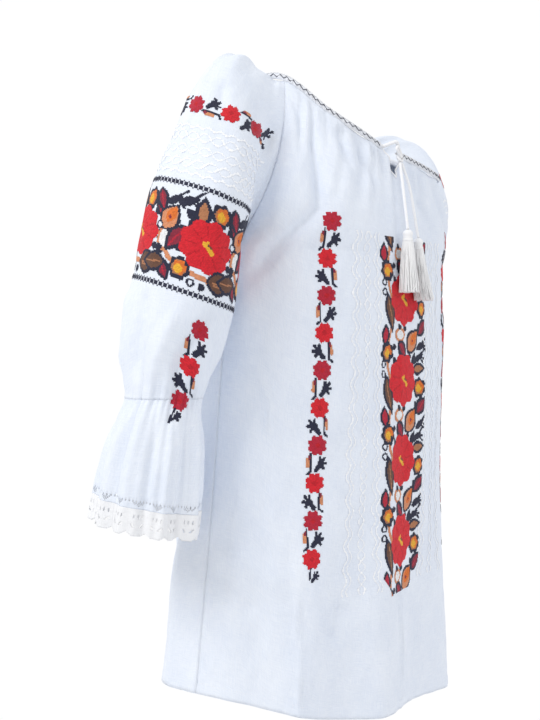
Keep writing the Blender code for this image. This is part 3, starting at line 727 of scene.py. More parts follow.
class Finish:
    """A Principled material with a short way to add and join nodes."""

    def __init__(self, name, roughness, sheen, specular=0.25):
        self.material = bpy.data.materials.new(name)
        self.material.use_nodes = True
        self.tree = self.material.node_tree
        self.shader = self.tree.nodes["Principled BSDF"]
        self.shader.inputs["Roughness"].default_value = roughness
        self.shader.inputs["Sheen Weight"].default_value = sheen
        self.shader.inputs["Sheen Roughness"].default_value = 0.55
        self.shader.inputs["Specular IOR Level"].default_value = specular

    def node(self, kind, **settings):
        made = self.tree.nodes.new(f"ShaderNode{kind}")
        for key, value in settings.items():
            setattr(made, key, value)
        return made

    def join(self, start, end):
        self.tree.links.new(start, end)

    def wear(self, colour, normal):
        """Joins the finished colour and relief to the shader."""
        self.join(colour, self.shader.inputs["Base Color"])
        self.join(normal, self.shader.inputs["Normal"])
        return self.material

    def cloth_map(self, stretch=(1, 1, 1), turn=0.0):
        """The metres of the cloth, stretched so that one unit is one grain of the pattern."""
        source = self.node("UVMap", uv_map="cloth")
        mapping = self.node("Mapping")
        mapping.inputs["Scale"].default_value = stretch
        mapping.inputs["Rotation"].default_value = (0, 0, turn)
        self.join(source.outputs["UV"], mapping.inputs["Vector"])
        return mapping.outputs["Vector"]

    def noise(self, vector, scale, detail=2.0):
        made = self.node("TexNoise")
        made.inputs["Scale"].default_value = scale
        made.inputs["Detail"].default_value = detail
        self.join(vector, made.inputs["Vector"])
        return made.outputs["Fac"]

    def math(self, operation, first, second):
        made = self.node("Math", operation=operation)
        for socket, value in zip(made.inputs, (first, second)):
            if isinstance(value, (int, float)):
                socket.default_value = value
            else:
                self.join(value, socket)
        return made.outputs[0]

    def ramp(self, factor, low, high, low_at=0.0, high_at=1.0):
        made = self.node("ValToRGB")
        first, last = made.color_ramp.elements
        first.position, first.color = low_at, (*low, 1)
        last.position, last.color = high_at, (*high, 1)
        self.join(factor, made.inputs["Fac"])
        return made.outputs["Color"]

    def bump(self, height, strength, distance, below=None):
        made = self.node("Bump")
        made.inputs["Strength"].default_value = strength
        made.inputs["Distance"].default_value = distance
        self.join(height, made.inputs["Height"])
        if below:
            self.join(below, made.inputs["Normal"])
        return made.outputs["Normal"]

# %% Woven cotton


def woven_cotton(name, light, shade, grain=1.0, roughness=0.86, sheen=0.25):
    """Plain weave with slubs: yarns that run thicker and thinner, both along and across."""
    finish = Finish(name, roughness, sheen)
    yarns_down = finish.noise(finish.cloth_map((1600, 90, 1)), 1.0, 3)
    yarns_across = finish.noise(finish.cloth_map((80, 1500, 1)), 1.0, 3)
    yarns = finish.math("ADD", yarns_down, yarns_across)
    cloud = finish.noise(finish.cloth_map((26, 18, 1)), 1.0, 4)
    tone = finish.math("ADD", finish.math("MULTIPLY", yarns, 0.55), finish.math("MULTIPLY", cloud, 0.5))
    colour = finish.ramp(tone, shade, light, 0.62, 0.98)
    warp = finish.node("TexWave", wave_type="BANDS", bands_direction="X")
    weft = finish.node("TexWave", wave_type="BANDS", bands_direction="Y")
    for wave in (warp, weft):
        for socket, value in (("Scale", 520), ("Distortion", 1.2), ("Detail", 1)):
            wave.inputs[socket].default_value = value
        finish.join(finish.cloth_map(), wave.inputs["Vector"])
    weave = finish.math("MULTIPLY", warp.outputs["Fac"], weft.outputs["Fac"])
    rumple = finish.noise(finish.cloth_map((160, 110, 1)), 1.0, 3)
    coarse = finish.bump(rumple, 0.48 * grain, 0.0013)
    slub = finish.bump(yarns, 0.35 * grain, 0.0005, coarse)
    return finish.wear(colour, finish.bump(weave, 0.30 * grain, 0.0003, slub))

# %% Threads and cross stitches


def twisted_thread(name, light, shade, turns=260, relief=0.5):
    """Cotton thread and cord: fibres that wind round it, with painted shade that darkens the grooves between
    them.
    """
    finish = Finish(name, 0.72, 0.3)
    fibres = finish.noise(finish.cloth_map((turns * 6, turns, 1), 0.7), 1.0, 3)
    fluff = finish.noise(finish.cloth_map((500, 500, 1)), 1.0, 2)
    # Painted shade: the colour follows the fibres' relief and darkens in its grooves; the fluff adds random
    # tone.
    tone = finish.math("MULTIPLY", finish.math("ADD", fibres, fluff), 0.5)
    return finish.wear(finish.ramp(tone, shade, light, 0.3, 0.7), finish.bump(fibres, relief, 0.0004))


def cross_stitches(name, groove=0.80, relief=0.55):
    """Dyed thread in crosses: each cell of the chart shows two strands, one over the other, with painted
    shade where they sink.
    """
    finish = Finish(name, 0.70, 0.06, 0.30)
    dyed = finish.node("Attribute", attribute_name="thread")
    cell = finish.node("UVMap", uv_map="cloth")
    axes = finish.node("SeparateXYZ")
    finish.join(cell.outputs["UV"], axes.inputs["Vector"])
    u, v = (finish.math("FRACT", axes.outputs[i], 0.0) for i in (0, 1))
    rising = finish.math("ABSOLUTE", finish.math("SUBTRACT", u, v), 0.0)
    falling = finish.math("ABSOLUTE", finish.math("SUBTRACT", finish.math("ADD", u, v), 1.0), 0.0)
    over = finish.math("SUBTRACT", 1.0, finish.math("MULTIPLY", rising, 2.4))
    under = finish.math("SUBTRACT", 0.75, finish.math("MULTIPLY", falling, 2.4))
    strands = finish.math("MAXIMUM", finish.math("MAXIMUM", over, under), 0.0)
    fibre = finish.noise(cell.outputs["UV"], 9.0, 2)
    # The dye is multiplied by painted shade and painted highlight that follow the strands' relief.
    dye_with_painted_shading = finish.node("MixRGB", blend_type="MULTIPLY")
    dye_with_painted_shading.inputs["Fac"].default_value = 1.0
    finish.join(dyed.outputs["Color"], dye_with_painted_shading.inputs["Color1"])
    depth = finish.math("ADD", strands, finish.math("MULTIPLY", fibre, 0.3))
    # Painted shade and highlight: the dye is darkened to the groove value where the strands sink and lifted
    # above itself on their crests.
    finish.join(finish.ramp(depth, (groove,) * 3, (1.06,) * 3), dye_with_painted_shading.inputs["Color2"])
    return finish.wear(dye_with_painted_shading.outputs["Color"], finish.bump(strands, relief, 0.0006))

# %% The finishes of this tunic
cotton = woven_cotton("thin_white_cotton", (0.865, 0.910, 0.985), (0.755, 0.815, 0.925), sheen=0.12)
casing_cotton = woven_cotton("binding_cotton", (0.89, 0.91, 0.95), (0.80, 0.83, 0.90), 1.2)
lace_cotton = woven_cotton("crocheted_cotton", (0.94, 0.95, 0.97), (0.87, 0.88, 0.91), 1.2, 0.8, 0.2)
tassel_thread = twisted_thread("tassel_thread", (0.98, 0.98, 0.98), (0.95, 0.95, 0.96), relief=0.1)
white_thread = twisted_thread("white_thread", (0.96, 0.96, 0.965), (0.88, 0.885, 0.91))
navy_thread = twisted_thread("navy_thread", (0.030, 0.032, 0.070), (0.012, 0.013, 0.035))
embroidery_thread = cross_stitches("embroidery_thread")
# The white satin thread carries the same faint painted shade between its strands and painted highlight on
# their crests.
satin_thread = cross_stitches("white_satin_thread", 0.97, 0.25)
print("finishes:", [m.name for m in bpy.data.materials])

# %% [markdown]
# ## Cloth pieces
#
# A panel starts as a flat grid primitive, like cloth on the table. Its points are then put on the form that
# was worked out above, and points that coincide along a sleeve's seam are joined. Solidify gives the sheet
# its thickness last. Before it goes on, the grid's size along the cloth is kept as the UV map.

# %% Cloth helpers
CLOTH_THICKNESS = 0.0006
FRILL_THICKNESS = 0.0005
LACE_THICKNESS = 0.0009


def read_out(rows, key, width=1, kind=float):
    """One property of every point, corner or face of a mesh."""
    values = np.zeros(len(rows) * width, kind)
    rows.foreach_get(key, values)
    return values.reshape(-1, width) if width > 1 else values


def set_values(rows, key, values):
    rows.foreach_set(key, np.asarray(values).reshape(-1))


def cloth_metres(places):
    """How far each point of a grid lies along the cloth, both ways."""
    across = np.linalg.norm(np.diff(places, axis=1), axis=-1)
    down = np.linalg.norm(np.diff(places, axis=0), axis=-1)
    u = np.concatenate([np.zeros((len(places), 1)), np.cumsum(across, axis=1)], axis=1)
    v = np.concatenate([np.zeros((1, places.shape[1])), np.cumsum(down, axis=0)])
    return np.stack([u - u[:, -1:] / 2, v], axis=-1)


def cloth_grid(name, places, middle, skip=None):
    """A grid primitive on the given places, which faces away from the middle or, if closed, outwards."""
    rows, columns = places.shape[:2]
    bm = bmesh.new()
    bmesh.ops.create_grid(bm, x_segments=columns - 1, y_segments=rows - 1, size=1)
    mesh = mesh_of(bm, name)
    corners = read_out(mesh.loops, "vertex_index", kind=int)
    set_values(mesh.vertices, "co", places)
    metres = cloth_metres(places).reshape(-1, 2)
    set_values(mesh.uv_layers.new(name="cloth").data, "uv", metres[corners])
    bm = bmesh.new()
    bm.from_mesh(mesh)
    if skip is not None:
        gone = [f for f in bm.faces if skip[divmod(min(v.index for v in f.verts), columns)]]
        bmesh.ops.delete(bm, geom=gone, context="FACES")
    bmesh.ops.remove_doubles(bm, verts=bm.verts, dist=2e-6)
    bm.normal_update()
    if middle is None:
        bmesh.ops.recalc_face_normals(bm, faces=bm.faces)
    else:
        middle = Vector(middle)
        if sum(f.normal.dot((f.calc_center_median() - middle).normalized()) for f in bm.faces) < 0:
            bmesh.ops.reverse_faces(bm, faces=bm.faces)
    for face in bm.faces:
        face.smooth = True
    bm.to_mesh(mesh)
    bm.free()
    return mesh

# %% Pieces and sheets


def add_piece(name, mesh, finish, *replaced, slot="cotton"):
    """A finished piece: it rides with the tunic and stands for the CAD solids that it replaces."""
    piece = bpy.data.objects.new(name, mesh)
    scene.collection.objects.link(piece)
    mesh.materials.clear()
    mesh.materials.append(finish)
    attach(piece, "root")
    if replaced:
        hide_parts(*replaced)
    return piece


def add_sheet(name, mesh, finish, node, thickness, slot="cotton"):
    """A gathered sheet, which Solidify gives its thickness. The casing is a closed roll and gets no
    thickness.
    """
    piece = add_piece(name, mesh, finish, node, slot=slot)
    if thickness:
        wall = piece.modifiers.new("wall", "SOLIDIFY")
        wall.thickness = thickness
        wall.offset = 0


def steps(*spans):
    """Places in a row: each span gives its start and its number of steps, and the last only its end."""
    row = []
    for (start, count), following in zip(spans, spans[1:]):
        row += [start + (following[0] - start) * i / count for i in range(count)]
    return np.array(row + [spans[-1][0]])


# %% [markdown]
# ### Front
#
# The front has a short slit below the neck edge. Its columns of points are parted there, and the two halves
# share their middle column below it.

# %% Front
BODY_MIDDLE = (0, 0.02, -0.35)
HALF_COLUMNS = 66
body_down = steps((0, 60), (1, 120), (2, 0))
half = np.linspace(0, 1, HALF_COLUMNS + 1)
opening = SLIT_OPENING * np.maximum(0, 1 - body_down / SLIT_DEPTH)[:, None]
left_half = opening + half[None, :] * (1 - opening)
front_across = np.concatenate([-left_half[:, ::-1], left_half], axis=1)
front_places = front_cloth(front_across, np.broadcast_to(body_down[:, None], front_across.shape))
slit_cells = np.zeros((len(body_down), front_across.shape[1]), bool)
slit_cells[:, HALF_COLUMNS] = True
front_mesh = cloth_grid("tunic_front", front_places, BODY_MIDDLE, slit_cells)
add_sheet("tunic_front", front_mesh, cotton, "front", CLOTH_THICKNESS)

# %% [markdown]
# ### Back
#
# The back is one panel without a slit, and it is gathered under the binding as the front is.

# %% Back
back_across, back_down = np.meshgrid(np.linspace(-1, 1, 121), steps((0, 50), (1, 100), (2, 0)))
back_mesh = cloth_grid("tunic_back", back_cloth(back_across, back_down), BODY_MIDDLE)
add_sheet("tunic_back", back_mesh, cotton, "back", CLOTH_THICKNESS)

# %% [markdown]
# ### Sleeves and frills
#
# A raglan sleeve is open where it meets the body and closes into a tube below the underarm. It is drawn in
# at the elbow, and a frill of the same cloth stands out below. A row of drawn threads above the lace leaves
# small holes, and under it every scallop has a few more in a triangle. All are cells taken out of the grid.

# %% Sleeves and frills
FRILL_COLUMNS = 300
HOLE_ROW, HOLE_ROW_END = 0.0905, 0.0922
BELOW_ELBOW = 1 + UNDERARM - ELBOW


def drawn_threads(depths):
    """The frill's open cells: a row of holes, and under it one small triangle of holes to each scallop."""
    column = np.arange(FRILL_COLUMNS + 1)
    holes = np.zeros((len(depths), len(column)), bool)
    row = np.searchsorted(depths, HOLE_ROW)
    holes[row, 1::3] = True
    from_middle = np.abs(column * SCALLOPS / FRILL_COLUMNS % 1 - 0.5) * FRILL_COLUMNS / SCALLOPS
    for step in range(1, 5):
        holes[row + step] = (from_middle < 5.6 - 1.2 * step) & ((column + step) % 2 == 0)
    return holes


sleeve_rows = steps((0, 64), (1, 60), (BELOW_ELBOW, 0))
frill_rows = steps((0, 14), (0.012, 22), (HOLE_ROW, 1), (HOLE_ROW_END, 5), (ELBOW - CUFF, 0))
for side, word in SIDES:
    cloth = sleeve_cloth(side)
    name = f"sleeve_cloth_{word}"
    around, down = np.meshgrid(np.linspace(-1, 1, 133), sleeve_rows)
    mesh = cloth_grid(name, cloth(around, down), (side * 0.215, 0.01, -0.2))
    add_sheet(name, mesh, cotton, f"sleeve_{word}", CLOTH_THICKNESS)

    name = f"frill_cloth_{word}"
    around, down = np.meshgrid(np.linspace(-1, 1, FRILL_COLUMNS + 1), BELOW_ELBOW + frill_rows)
    mesh = cloth_grid(name, cloth(around, down), (side * 0.238, 0.035, -0.37), drawn_threads(frill_rows))
    add_sheet(name, mesh, cotton, f"frill_{word}", FRILL_THICKNESS)

# %% [markdown]
# ### Lace
#
# The edging is crocheted cotton, with short slits and a fan of holes in each scallop. One grid gives it its
# body, cells are taken out for the holes, and the lower edge is cut to the scallops.

# %% Lace
SCALLOP_CELLS = 20
LACE_ROWS = 22


def lace_cells(columns, rows):
    """The cells that are left open in each scallop: a row of slits, a fan, and the notch at its ends."""
    i, j = np.mgrid[0:rows, 0:columns]
    from_middle = np.abs((j % SCALLOP_CELLS) + 0.5 - SCALLOP_CELLS / 2)
    slits = (i >= 5) & (i < 8) & (from_middle < 7) & (j % 4 == 1)
    fan = (i >= 12) & (i < 15) & (np.abs(from_middle - (17 - i)) < 0.6)
    notch = i / LACE_ROWS > 1.0 - 0.17 * (from_middle / (SCALLOP_CELLS / 2)) ** 2.0
    return slits | fan | notch


columns = SCALLOPS * SCALLOP_CELLS
depths = ELBOW - CUFF + np.linspace(0, LACE_DEPTH, LACE_ROWS + 1)
around, down = np.meshgrid(np.linspace(-1, 1, columns + 1), BELOW_ELBOW + depths)
for side, word in SIDES:
    name = f"lace_edging_{word}"
    places = sleeve_cloth(side)(around, down, 0.0003)
    mesh = cloth_grid(name, places, (side * 0.24, 0.044, -0.43), lace_cells(columns, LACE_ROWS + 1))
    add_sheet(name, mesh, lace_cotton, f"lace_{word}", LACE_THICKNESS, slot="lace_cotton")

# %% [markdown]
# ## Embroidery, stitch by stitch
#
# The coloured work is cross stitch: a chart of square cells, each filled with one thread or left bare. Here a
# chart is drawn with a few motif helpers, such as a flower with lobes and a leaf with a dark outline. Each
# chart becomes a flat grid of cells, its bare cells are deleted, and every stitch is poked to a low peak. The
# flat work is then laid on the cloth by the flat measures, as a transfer is.

# %% Threads and the chart
THREADS = {
    "scarlet": (0.740, 0.016, 0.030),
    "crimson": (0.520, 0.018, 0.045),
    "cherry": (0.560, 0.010, 0.022),
    "orange": (0.800, 0.190, 0.030),
    "yellow": (0.900, 0.480, 0.040),
    "peach": (0.740, 0.300, 0.150),
    "tan": (0.470, 0.200, 0.095),
    "brown": (0.150, 0.070, 0.045),
    "navy": (0.022, 0.025, 0.055),
    "maroon": (0.270, 0.022, 0.050),
    "white": (0.940, 0.955, 0.985),
}
NAMES = list(THREADS)
print("thread colours:", NAMES)


class Chart:
    """A chart of cells in millimetres; x runs to the right of the picture and y down the cloth. Motifs are
    placed from its home, which is the middle of the repeat that is being drawn."""

    def __init__(self, left, top, right, bottom, pitch=1.25):
        self.left, self.top, self.pitch = left, top, pitch
        columns, rows = round((right - left) / pitch), round((bottom - top) / pitch)
        self.x, self.y = np.meshgrid(
            left + (np.arange(columns) + 0.5) * pitch, top + (np.arange(rows) + 0.5) * pitch
        )
        self.cells = np.full((rows, columns), -1)
        self.home = (0, 0)

    def place(self, x, y):
        return self.home[0] + x, self.home[1] + y

    def fill(self, inside, thread):
        self.cells[inside] = -1 if thread is None else NAMES.index(thread)

    def flower(self, x, y, radius, lobes, thread, notch=0.16, turn=0.0, squash=1.0):
        x, y = self.place(x, y)
        dx, dy = (self.x - x) / squash, self.y - y
        angle = np.arctan2(dy, dx) - turn
        edge = radius * (1 - notch * (0.5 - 0.5 * np.cos(lobes * angle)) ** 1.4)
        self.fill(np.hypot(dx, dy) < edge, thread)
        return angle, np.hypot(dx, dy)

    def leaf(self, root, tip, width, thread, outline="navy", rim=2.0, vein=None):
        (x0, y0), (x1, y1) = self.place(*root), self.place(*tip)
        length = math.hypot(x1 - x0, y1 - y0)
        ux, uy = (x1 - x0) / length, (y1 - y0) / length
        along = ((self.x - x0) * ux + (self.y - y0) * uy) / length
        off = np.abs((self.x - x0) * uy - (self.y - y0) * ux)
        half = width / 2 * np.sin(np.pi * np.clip(along, 0, 1) ** 0.85)
        self.fill((off < half), outline)
        if thread:
            self.fill((off < half - rim) & (along > 0.1) & (along < 0.9), thread)
        if vein:
            self.fill((off < 0.75) & (along > 0.2) & (along < 0.8), vein)

    def line(self, places, width, thread):
        places = [self.place(x, y) for x, y in places]
        for (x0, y0), (x1, y1) in zip(places, places[1:]):
            length = math.hypot(x1 - x0, y1 - y0)
            ux, uy = (x1 - x0) / length, (y1 - y0) / length
            along = np.clip((self.x - x0) * ux + (self.y - y0) * uy, 0, length)
            away = np.hypot(self.x - x0 - along * ux, self.y - y0 - along * uy)
            self.fill(away < width / 2, thread)

    def ring(self, x, y, radius_x, radius_y, width, thread, inside=None):
        x, y = self.place(x, y)
        reach = np.hypot((self.x - x) / radius_x, (self.y - y) / radius_y)
        self.fill(reach < 1, thread)
        self.fill(reach < 1 - width / min(radius_x, radius_y), inside)

    def sprig(self, x, y, size, side, thread="navy"):
        """A small lobed leaf whose tips point up and to one side."""
        stem = [(x - side * size * 0.42, y + size * 0.48), (x + side * size * 0.08, y - size * 0.08)]
        self.line(stem, size * 0.40, thread)
        self.flower(x, y, size * 0.34, 3, thread, 0.1)
        lobes = ((0.34, -0.46, 0.26), (0.50, -0.04, 0.26), (-0.06, -0.52, 0.24), (0.28, 0.36, 0.26))
        for lean, rise, thick in lobes:
            tip = (x + side * size * lean, y + size * rise)
            self.line([(x, y), tip], size * thick, thread)


# %% From a chart to stitches on the cloth
STITCH_RISE = 0.00035
STITCH_EDGE = 0.00005
STITCH_PEAK = 0.00018
CLEARANCE = 0.00052


def flat_stitches(chart, mirrored):
    """The stitches of a chart, lying flat: x and y are metres on the cloth and z is the height over it."""
    rows, columns = chart.cells.shape
    bm = bmesh.new()
    bmesh.ops.create_grid(bm, x_segments=columns, y_segments=rows, size=0.5)
    bm.verts.ensure_lookup_table()
    stride = columns + 1
    bare = []
    for face in bm.faces:
        row, column = divmod(min(v.index for v in face.verts), stride)
        thread = chart.cells[row, column]
        if thread < 0:
            bare.append(face)
        else:
            face.material_index = int(thread)
    for index, vert in enumerate(bm.verts):
        row, column = divmod(index, stride)
        vert.co = ((chart.left + column * chart.pitch) / 1000, (chart.top + row * chart.pitch) / 1000, 0)
    bmesh.ops.delete(bm, geom=bare, context="FACES")
    for vert in bm.verts:
        vert.co.z = STITCH_EDGE if vert.is_boundary else STITCH_RISE
    for face in bm.faces:
        if face.normal.z < 0:
            face.normal_flip()
    made = bmesh.ops.poke(bm, faces=bm.faces)
    for vert in made["verts"]:
        vert.co.z += STITCH_PEAK
    if mirrored:
        bmesh.ops.scale(bm, vec=(-1, 1, 1), verts=bm.verts)
        bmesh.ops.reverse_faces(bm, faces=bm.faces)
    return bm

# %% Laying a chart on the cloth


def embroider(name, chart, place, mirrored=False, seed=1, finish=embroidery_thread):
    """Lays the stitches of a chart on the cloth and gives each one its thread's colour."""
    bm = flat_stitches(chart, mirrored)
    mesh = bpy.data.meshes.new(name)
    bm.to_mesh(mesh)
    bm.free()
    flat = np.zeros(len(mesh.vertices) * 3)
    mesh.vertices.foreach_get("co", flat)
    flat = flat.reshape(-1, 3)
    laid = place(flat[:, 0], flat[:, 1], flat[:, 2] + CLEARANCE)
    mesh.vertices.foreach_set("co", laid.reshape(-1))
    corners = np.zeros(len(mesh.loops), int)
    mesh.loops.foreach_get("vertex_index", corners)
    cell = np.zeros(len(mesh.polygons), int)
    mesh.polygons.foreach_get("material_index", cell)
    sides = np.zeros(len(mesh.polygons), int)
    mesh.polygons.foreach_get("loop_total", sides)
    uv = np.stack([flat[:, 0] * 1000 - chart.left, flat[:, 1] * 1000 - chart.top], axis=-1) / chart.pitch
    layer = mesh.uv_layers.new(name="cloth")
    layer.data.foreach_set("uv", uv[corners].reshape(-1))
    random = np.random.RandomState(seed)
    dyed = np.array([THREADS[thread] for thread in NAMES])[cell]
    middle = flat[corners].reshape(-1, 3, 3).mean(axis=1)
    patch = np.floor(middle[:, :2] * 1000 / chart.pitch + 4000).astype(int)
    least = 0.86 if finish is embroidery_thread else 0.99
    uneven = random.uniform(least, 2 - least, (97, 89))[patch[:, 0] % 97, patch[:, 1] % 89]
    dyed = np.clip(dyed * uneven[:, None], 0, 1)
    colours = np.concatenate([dyed, np.ones((len(dyed), 1))], axis=1)
    threads = mesh.color_attributes.new("thread", "FLOAT_COLOR", "CORNER")
    threads.data.foreach_set("color", np.repeat(colours, sides, axis=0).reshape(-1))
    mesh.polygons.foreach_set("material_index", np.zeros(len(mesh.polygons), int))
    mesh.update()
    piece = add_piece(name, mesh, finish, slot="thread")
    print(name, len(mesh.polygons), "faces")
    return piece


def on_front(x, y, height):
    across, down = front_flat.find(x, y)
    return front_cloth(across, down, height)


def on_sleeve(side):
    """The chart's x runs towards the front of the sleeve, so it is turned round here."""

    def place(x, y, height):
        around, down = sleeve_flat[side].find(-x, y)
        return sleeve_cloth(side)(around, down, height)

    return place


# %% [markdown]
# ### Rows of small flowers
#
# The narrow rows have one repeat: a flower with eight lobes, then a lobed leaf on one side and a dark stem
# with a pale bud on the other, which change sides at the next repeat. The same row runs down the front
# panels, over the sleeve's head and down the lower sleeve. The flowers take two reds in turn.

# %% The row and where it is worked


def small_flower(chart, x, y, radius, number, squash=1.0):
    thread, heart = ("crimson", "cherry") if number % 2 == 0 else ("scarlet", "cherry")
    chart.flower(x, y, radius, 8, thread, 0.20, 0.39, squash)
    chart.flower(x, y, radius * 0.26, 4, heart, 0.2)


def between_flowers(chart, x, y, side, reach, upright=True):
    """Half a repeat: the lobed leaf on one side and the stem with its bud on the other."""

    def turn(a, b):
        return (x + a, y + b) if upright else (x + b, y + a)

    leaf_x, leaf_y = turn(side * 5.0, 0.5)
    chart.sprig(leaf_x, leaf_y, 12.0, side if upright else 1)
    chart.line([turn(-side * 6.0, -reach), turn(-side * 5.6, 3.5), turn(-side * 5.8, 8.0)], 2.2, "navy")
    chart.line([turn(-side * 5.8, 8.0), turn(-side * 9.4, 10.2)], 2.2, "navy")
    chart.line([turn(-side * 8.2, -5.0), turn(-side * 8.6, 2.2)], 3.4, "peach")
    chart.line([turn(-side * 7.4, -7.0), turn(-side * 7.4, -4.6)], 2.4, "maroon")


def flower_column(places, radius=10.3):
    xs, ys = [p[0] for p in places], [p[1] for p in places]
    chart = Chart(min(xs) - 16, min(ys) - 14, max(xs) + 16, max(ys) + 24, 1.2)
    for number, (x, y) in enumerate(places):
        last = number == len(places) - 1
        if not last:
            next_x, next_y = places[number + 1]
            side = 1 if number % 2 == 0 else -1
            between_flowers(chart, (x + next_x) / 2, (y + next_y) / 2 - 0.5, side, 10)
    for number, (x, y) in enumerate(places):
        small_flower(chart, x, y, radius, number)
    return chart

# %% Columns and the shoulder row
column_places = [(-100.5 - 0.070 * y, y) for y in (143.3 + 36.7 * i for i in range(10))]
column_chart = flower_column(column_places)
end_x, end_y = column_places[-1]
column_chart.sprig(end_x + 3, end_y + 17, 8, 1)
column_chart.line([(end_x - 2, end_y + 9), (end_x - 3, end_y + 19)], 2.2, "navy")
embroider("flower_column_right", column_chart, on_front, seed=3)
embroider("flower_column_left", column_chart, on_front, mirrored=True, seed=4)

sleeve_column = [(53 - 0.21 * (y - 252.0), y) for y in (252.0, 287.5, 322.0)]
sleeve_chart = flower_column(sleeve_column, 9.8)
x, y = sleeve_column[-1]
sleeve_chart.line([(x - 3, y + 8), (x - 4, y + 22)], 2.2, "navy")
sleeve_chart.sprig(x + 1, y + 15, 8, 1)

shoulder_chart = Chart(-106, 24, 106, 56, 1.2)
shoulder_places = [-74 + 37 * i for i in range(5)]
for number, x in enumerate(shoulder_places + [111]):
    side = 1 if number % 2 == 0 else -1
    between_flowers(shoulder_chart, x - 18.5, 40, side, 9, upright=False)
for number, x in enumerate(shoulder_places):
    small_flower(shoulder_chart, x, 40, 10.0, number, 1.3 if x > 60 else 1.0)
for side, word in SIDES:
    embroider(f"sleeve_column_{word}", sleeve_chart, on_sleeve(side), seed=5)
    if side > 0:
        shoulder_chart.fill(shoulder_chart.x > 46, None)
    embroider(f"shoulder_row_{word}", shoulder_chart, on_sleeve(side), seed=6)

# %% [markdown]
# ### The wide bands
#
# The wide work has large red flowers with a yellow heart, and around them leaves, fruits and buds with dark
# outlines. One repeat is drawn for the sleeve band and one for the centre of the front.

# %% Large motifs


def large_flower(chart, x, y, radius, turn=0.0, squash=1.0):
    angle, reach = chart.flower(x, y, radius, 9, "scarlet", 0.11, turn, squash)
    veins = (np.abs(np.sin(4.5 * angle)) > 0.985) & (reach > radius * 0.32) & (reach < radius * 0.78)
    chart.fill(veins, "cherry")
    chart.line([(x - 3.5, y - 2), (x + 1.5, y + 1.5), (x + 4.5, y + 5)], 4.2, "yellow")
    chart.line([(x - 1, y - 4), (x - 1, y + 1)], 2.6, "yellow")
    chart.line([(x + 0.5, y - 1.2), (x + 4.0, y + 0.6)], 2.0, "brown")


def yellow_flower(chart, x, y, radius):
    chart.flower(x, y, radius, 7, "navy", 0.16, 0.3)
    chart.flower(x, y, radius * 0.66, 6, "tan", 0.10)
    chart.flower(x + 0.8, y - 0.8, radius * 0.62, 5, "orange", 0.18)
    chart.flower(x - 0.6, y + 0.6, radius * 0.40, 4, "yellow", 0.15)


def fruit(chart, x, y, width, height, lean):
    tip = np.array((x + lean * width * 0.5, y - height * 0.5))
    root = np.array((x - lean * width * 0.5, y + height * 0.5))
    chart.leaf(root, tip, min(width, height) * 0.95, "peach", "navy", 3.2)
    chart.leaf(mix(root, tip, 0.3), mix(root, tip, 0.9), min(width, height) * 0.42, None, "orange")
    heart_x, heart_y = chart.place(x, y)
    chart.fill(np.hypot(chart.x - heart_x, chart.y - heart_y) < 1.7, "maroon")


def bud_loop(chart, x, y, width, height):
    chart.ring(x, y, width / 2, height / 2, 2.6, "peach", "white")


def little_ring(chart, x, y, size=5.5):
    chart.ring(x, y, size / 2, size / 2, 1.6, "navy")


def forked_leaf(chart, x, y, size, side):
    stem, tip = (x - side * size * 0.6, y + size * 0.35), (x + side * size * 0.5, y - size * 0.2)
    chart.leaf(stem, tip, size * 0.5, None)
    for rise in (-0.55, 0.1, 0.45):
        chart.line([(x, y), (x + side * size * 0.65, y + size * rise)], 2.3, "navy")

# %% One repeat of the sleeve band


def band_repeat(chart, x, y):
    """One repeat of the sleeve band; x and y are the middle of its flower."""
    chart.home = (x, y)
    chart.line([(-42, 12), (-36, 20), (-22, 27), (-8, 29), (9, 31)], 4.8, "peach")
    chart.line([(-42, -10), (-46, -3)], 3.8, "peach")
    bud_loop(chart, -43.5, 4, 17, 25)
    chart.leaf((-22, -13), (-41, 15), 20, "maroon", "navy", 4.0, "crimson")
    chart.leaf((-59, -44), (-48, -19), 14.5, "maroon", "navy", 3.2, "crimson")
    forked_leaf(chart, -39, -36, 17, 1)
    forked_leaf(chart, -24, -38, 19, 1)
    fruit(chart, -41, -17, 26, 27, 0.55)
    chart.leaf((-26, -29), (-11, -18), 9.5, None)
    chart.leaf((-9, -16), (-11, -45), 17.0, "tan", "navy", 3.8)
    yellow_flower(chart, 8, -32, 12.0)
    chart.leaf((20, -43), (29, -13), 14.5, "maroon", "navy", 3.4, "crimson")
    chart.leaf((31, -18), (32, 3), 9.5, None)
    chart.leaf((-33, 42), (-47, 19), 14.0, "maroon", "navy", 3.2, "crimson")
    chart.leaf((-38, 26), (-66, 29), 20.0, "brown", "navy", 3.0, "tan")
    yellow_flower(chart, -23, 27, 11.5)
    chart.leaf((4, 31), (36, 28), 24.0, "brown", "navy", 3.4, "tan")
    chart.leaf((12, 33), (30, 24), 7.0, "brown", "tan", 2.0)
    for dx, dy in ((-10, 37), (29, 2), (-52, -8)):
        little_ring(chart, dx, dy, 8)
    for dx, dy in ((1, 38), (21, -19), (27, 13), (-26, 9), (-48, 13), (-19, -15), (33, 16)):
        chart.flower(dx, dy, 4.0, 3, "navy", 0.2)
    large_flower(chart, 0, 0, 25.0, squash=1.13)
    chart.home = (0, 0)


def chain_border(chart, y):
    """A chain of crosses with full hearts, between the wide band and the plain cloth."""
    rows, columns = chart.cells.shape
    phase = np.abs(np.arange(columns) % 4 - 2)[None, :]
    off = np.abs(np.arange(rows) - round((y - chart.top) / chart.pitch))[:, None]
    cross = np.abs(phase - off) < 0.5
    heart = phase + off <= 1
    chart.fill((cross | heart) & (off <= 2), "navy")


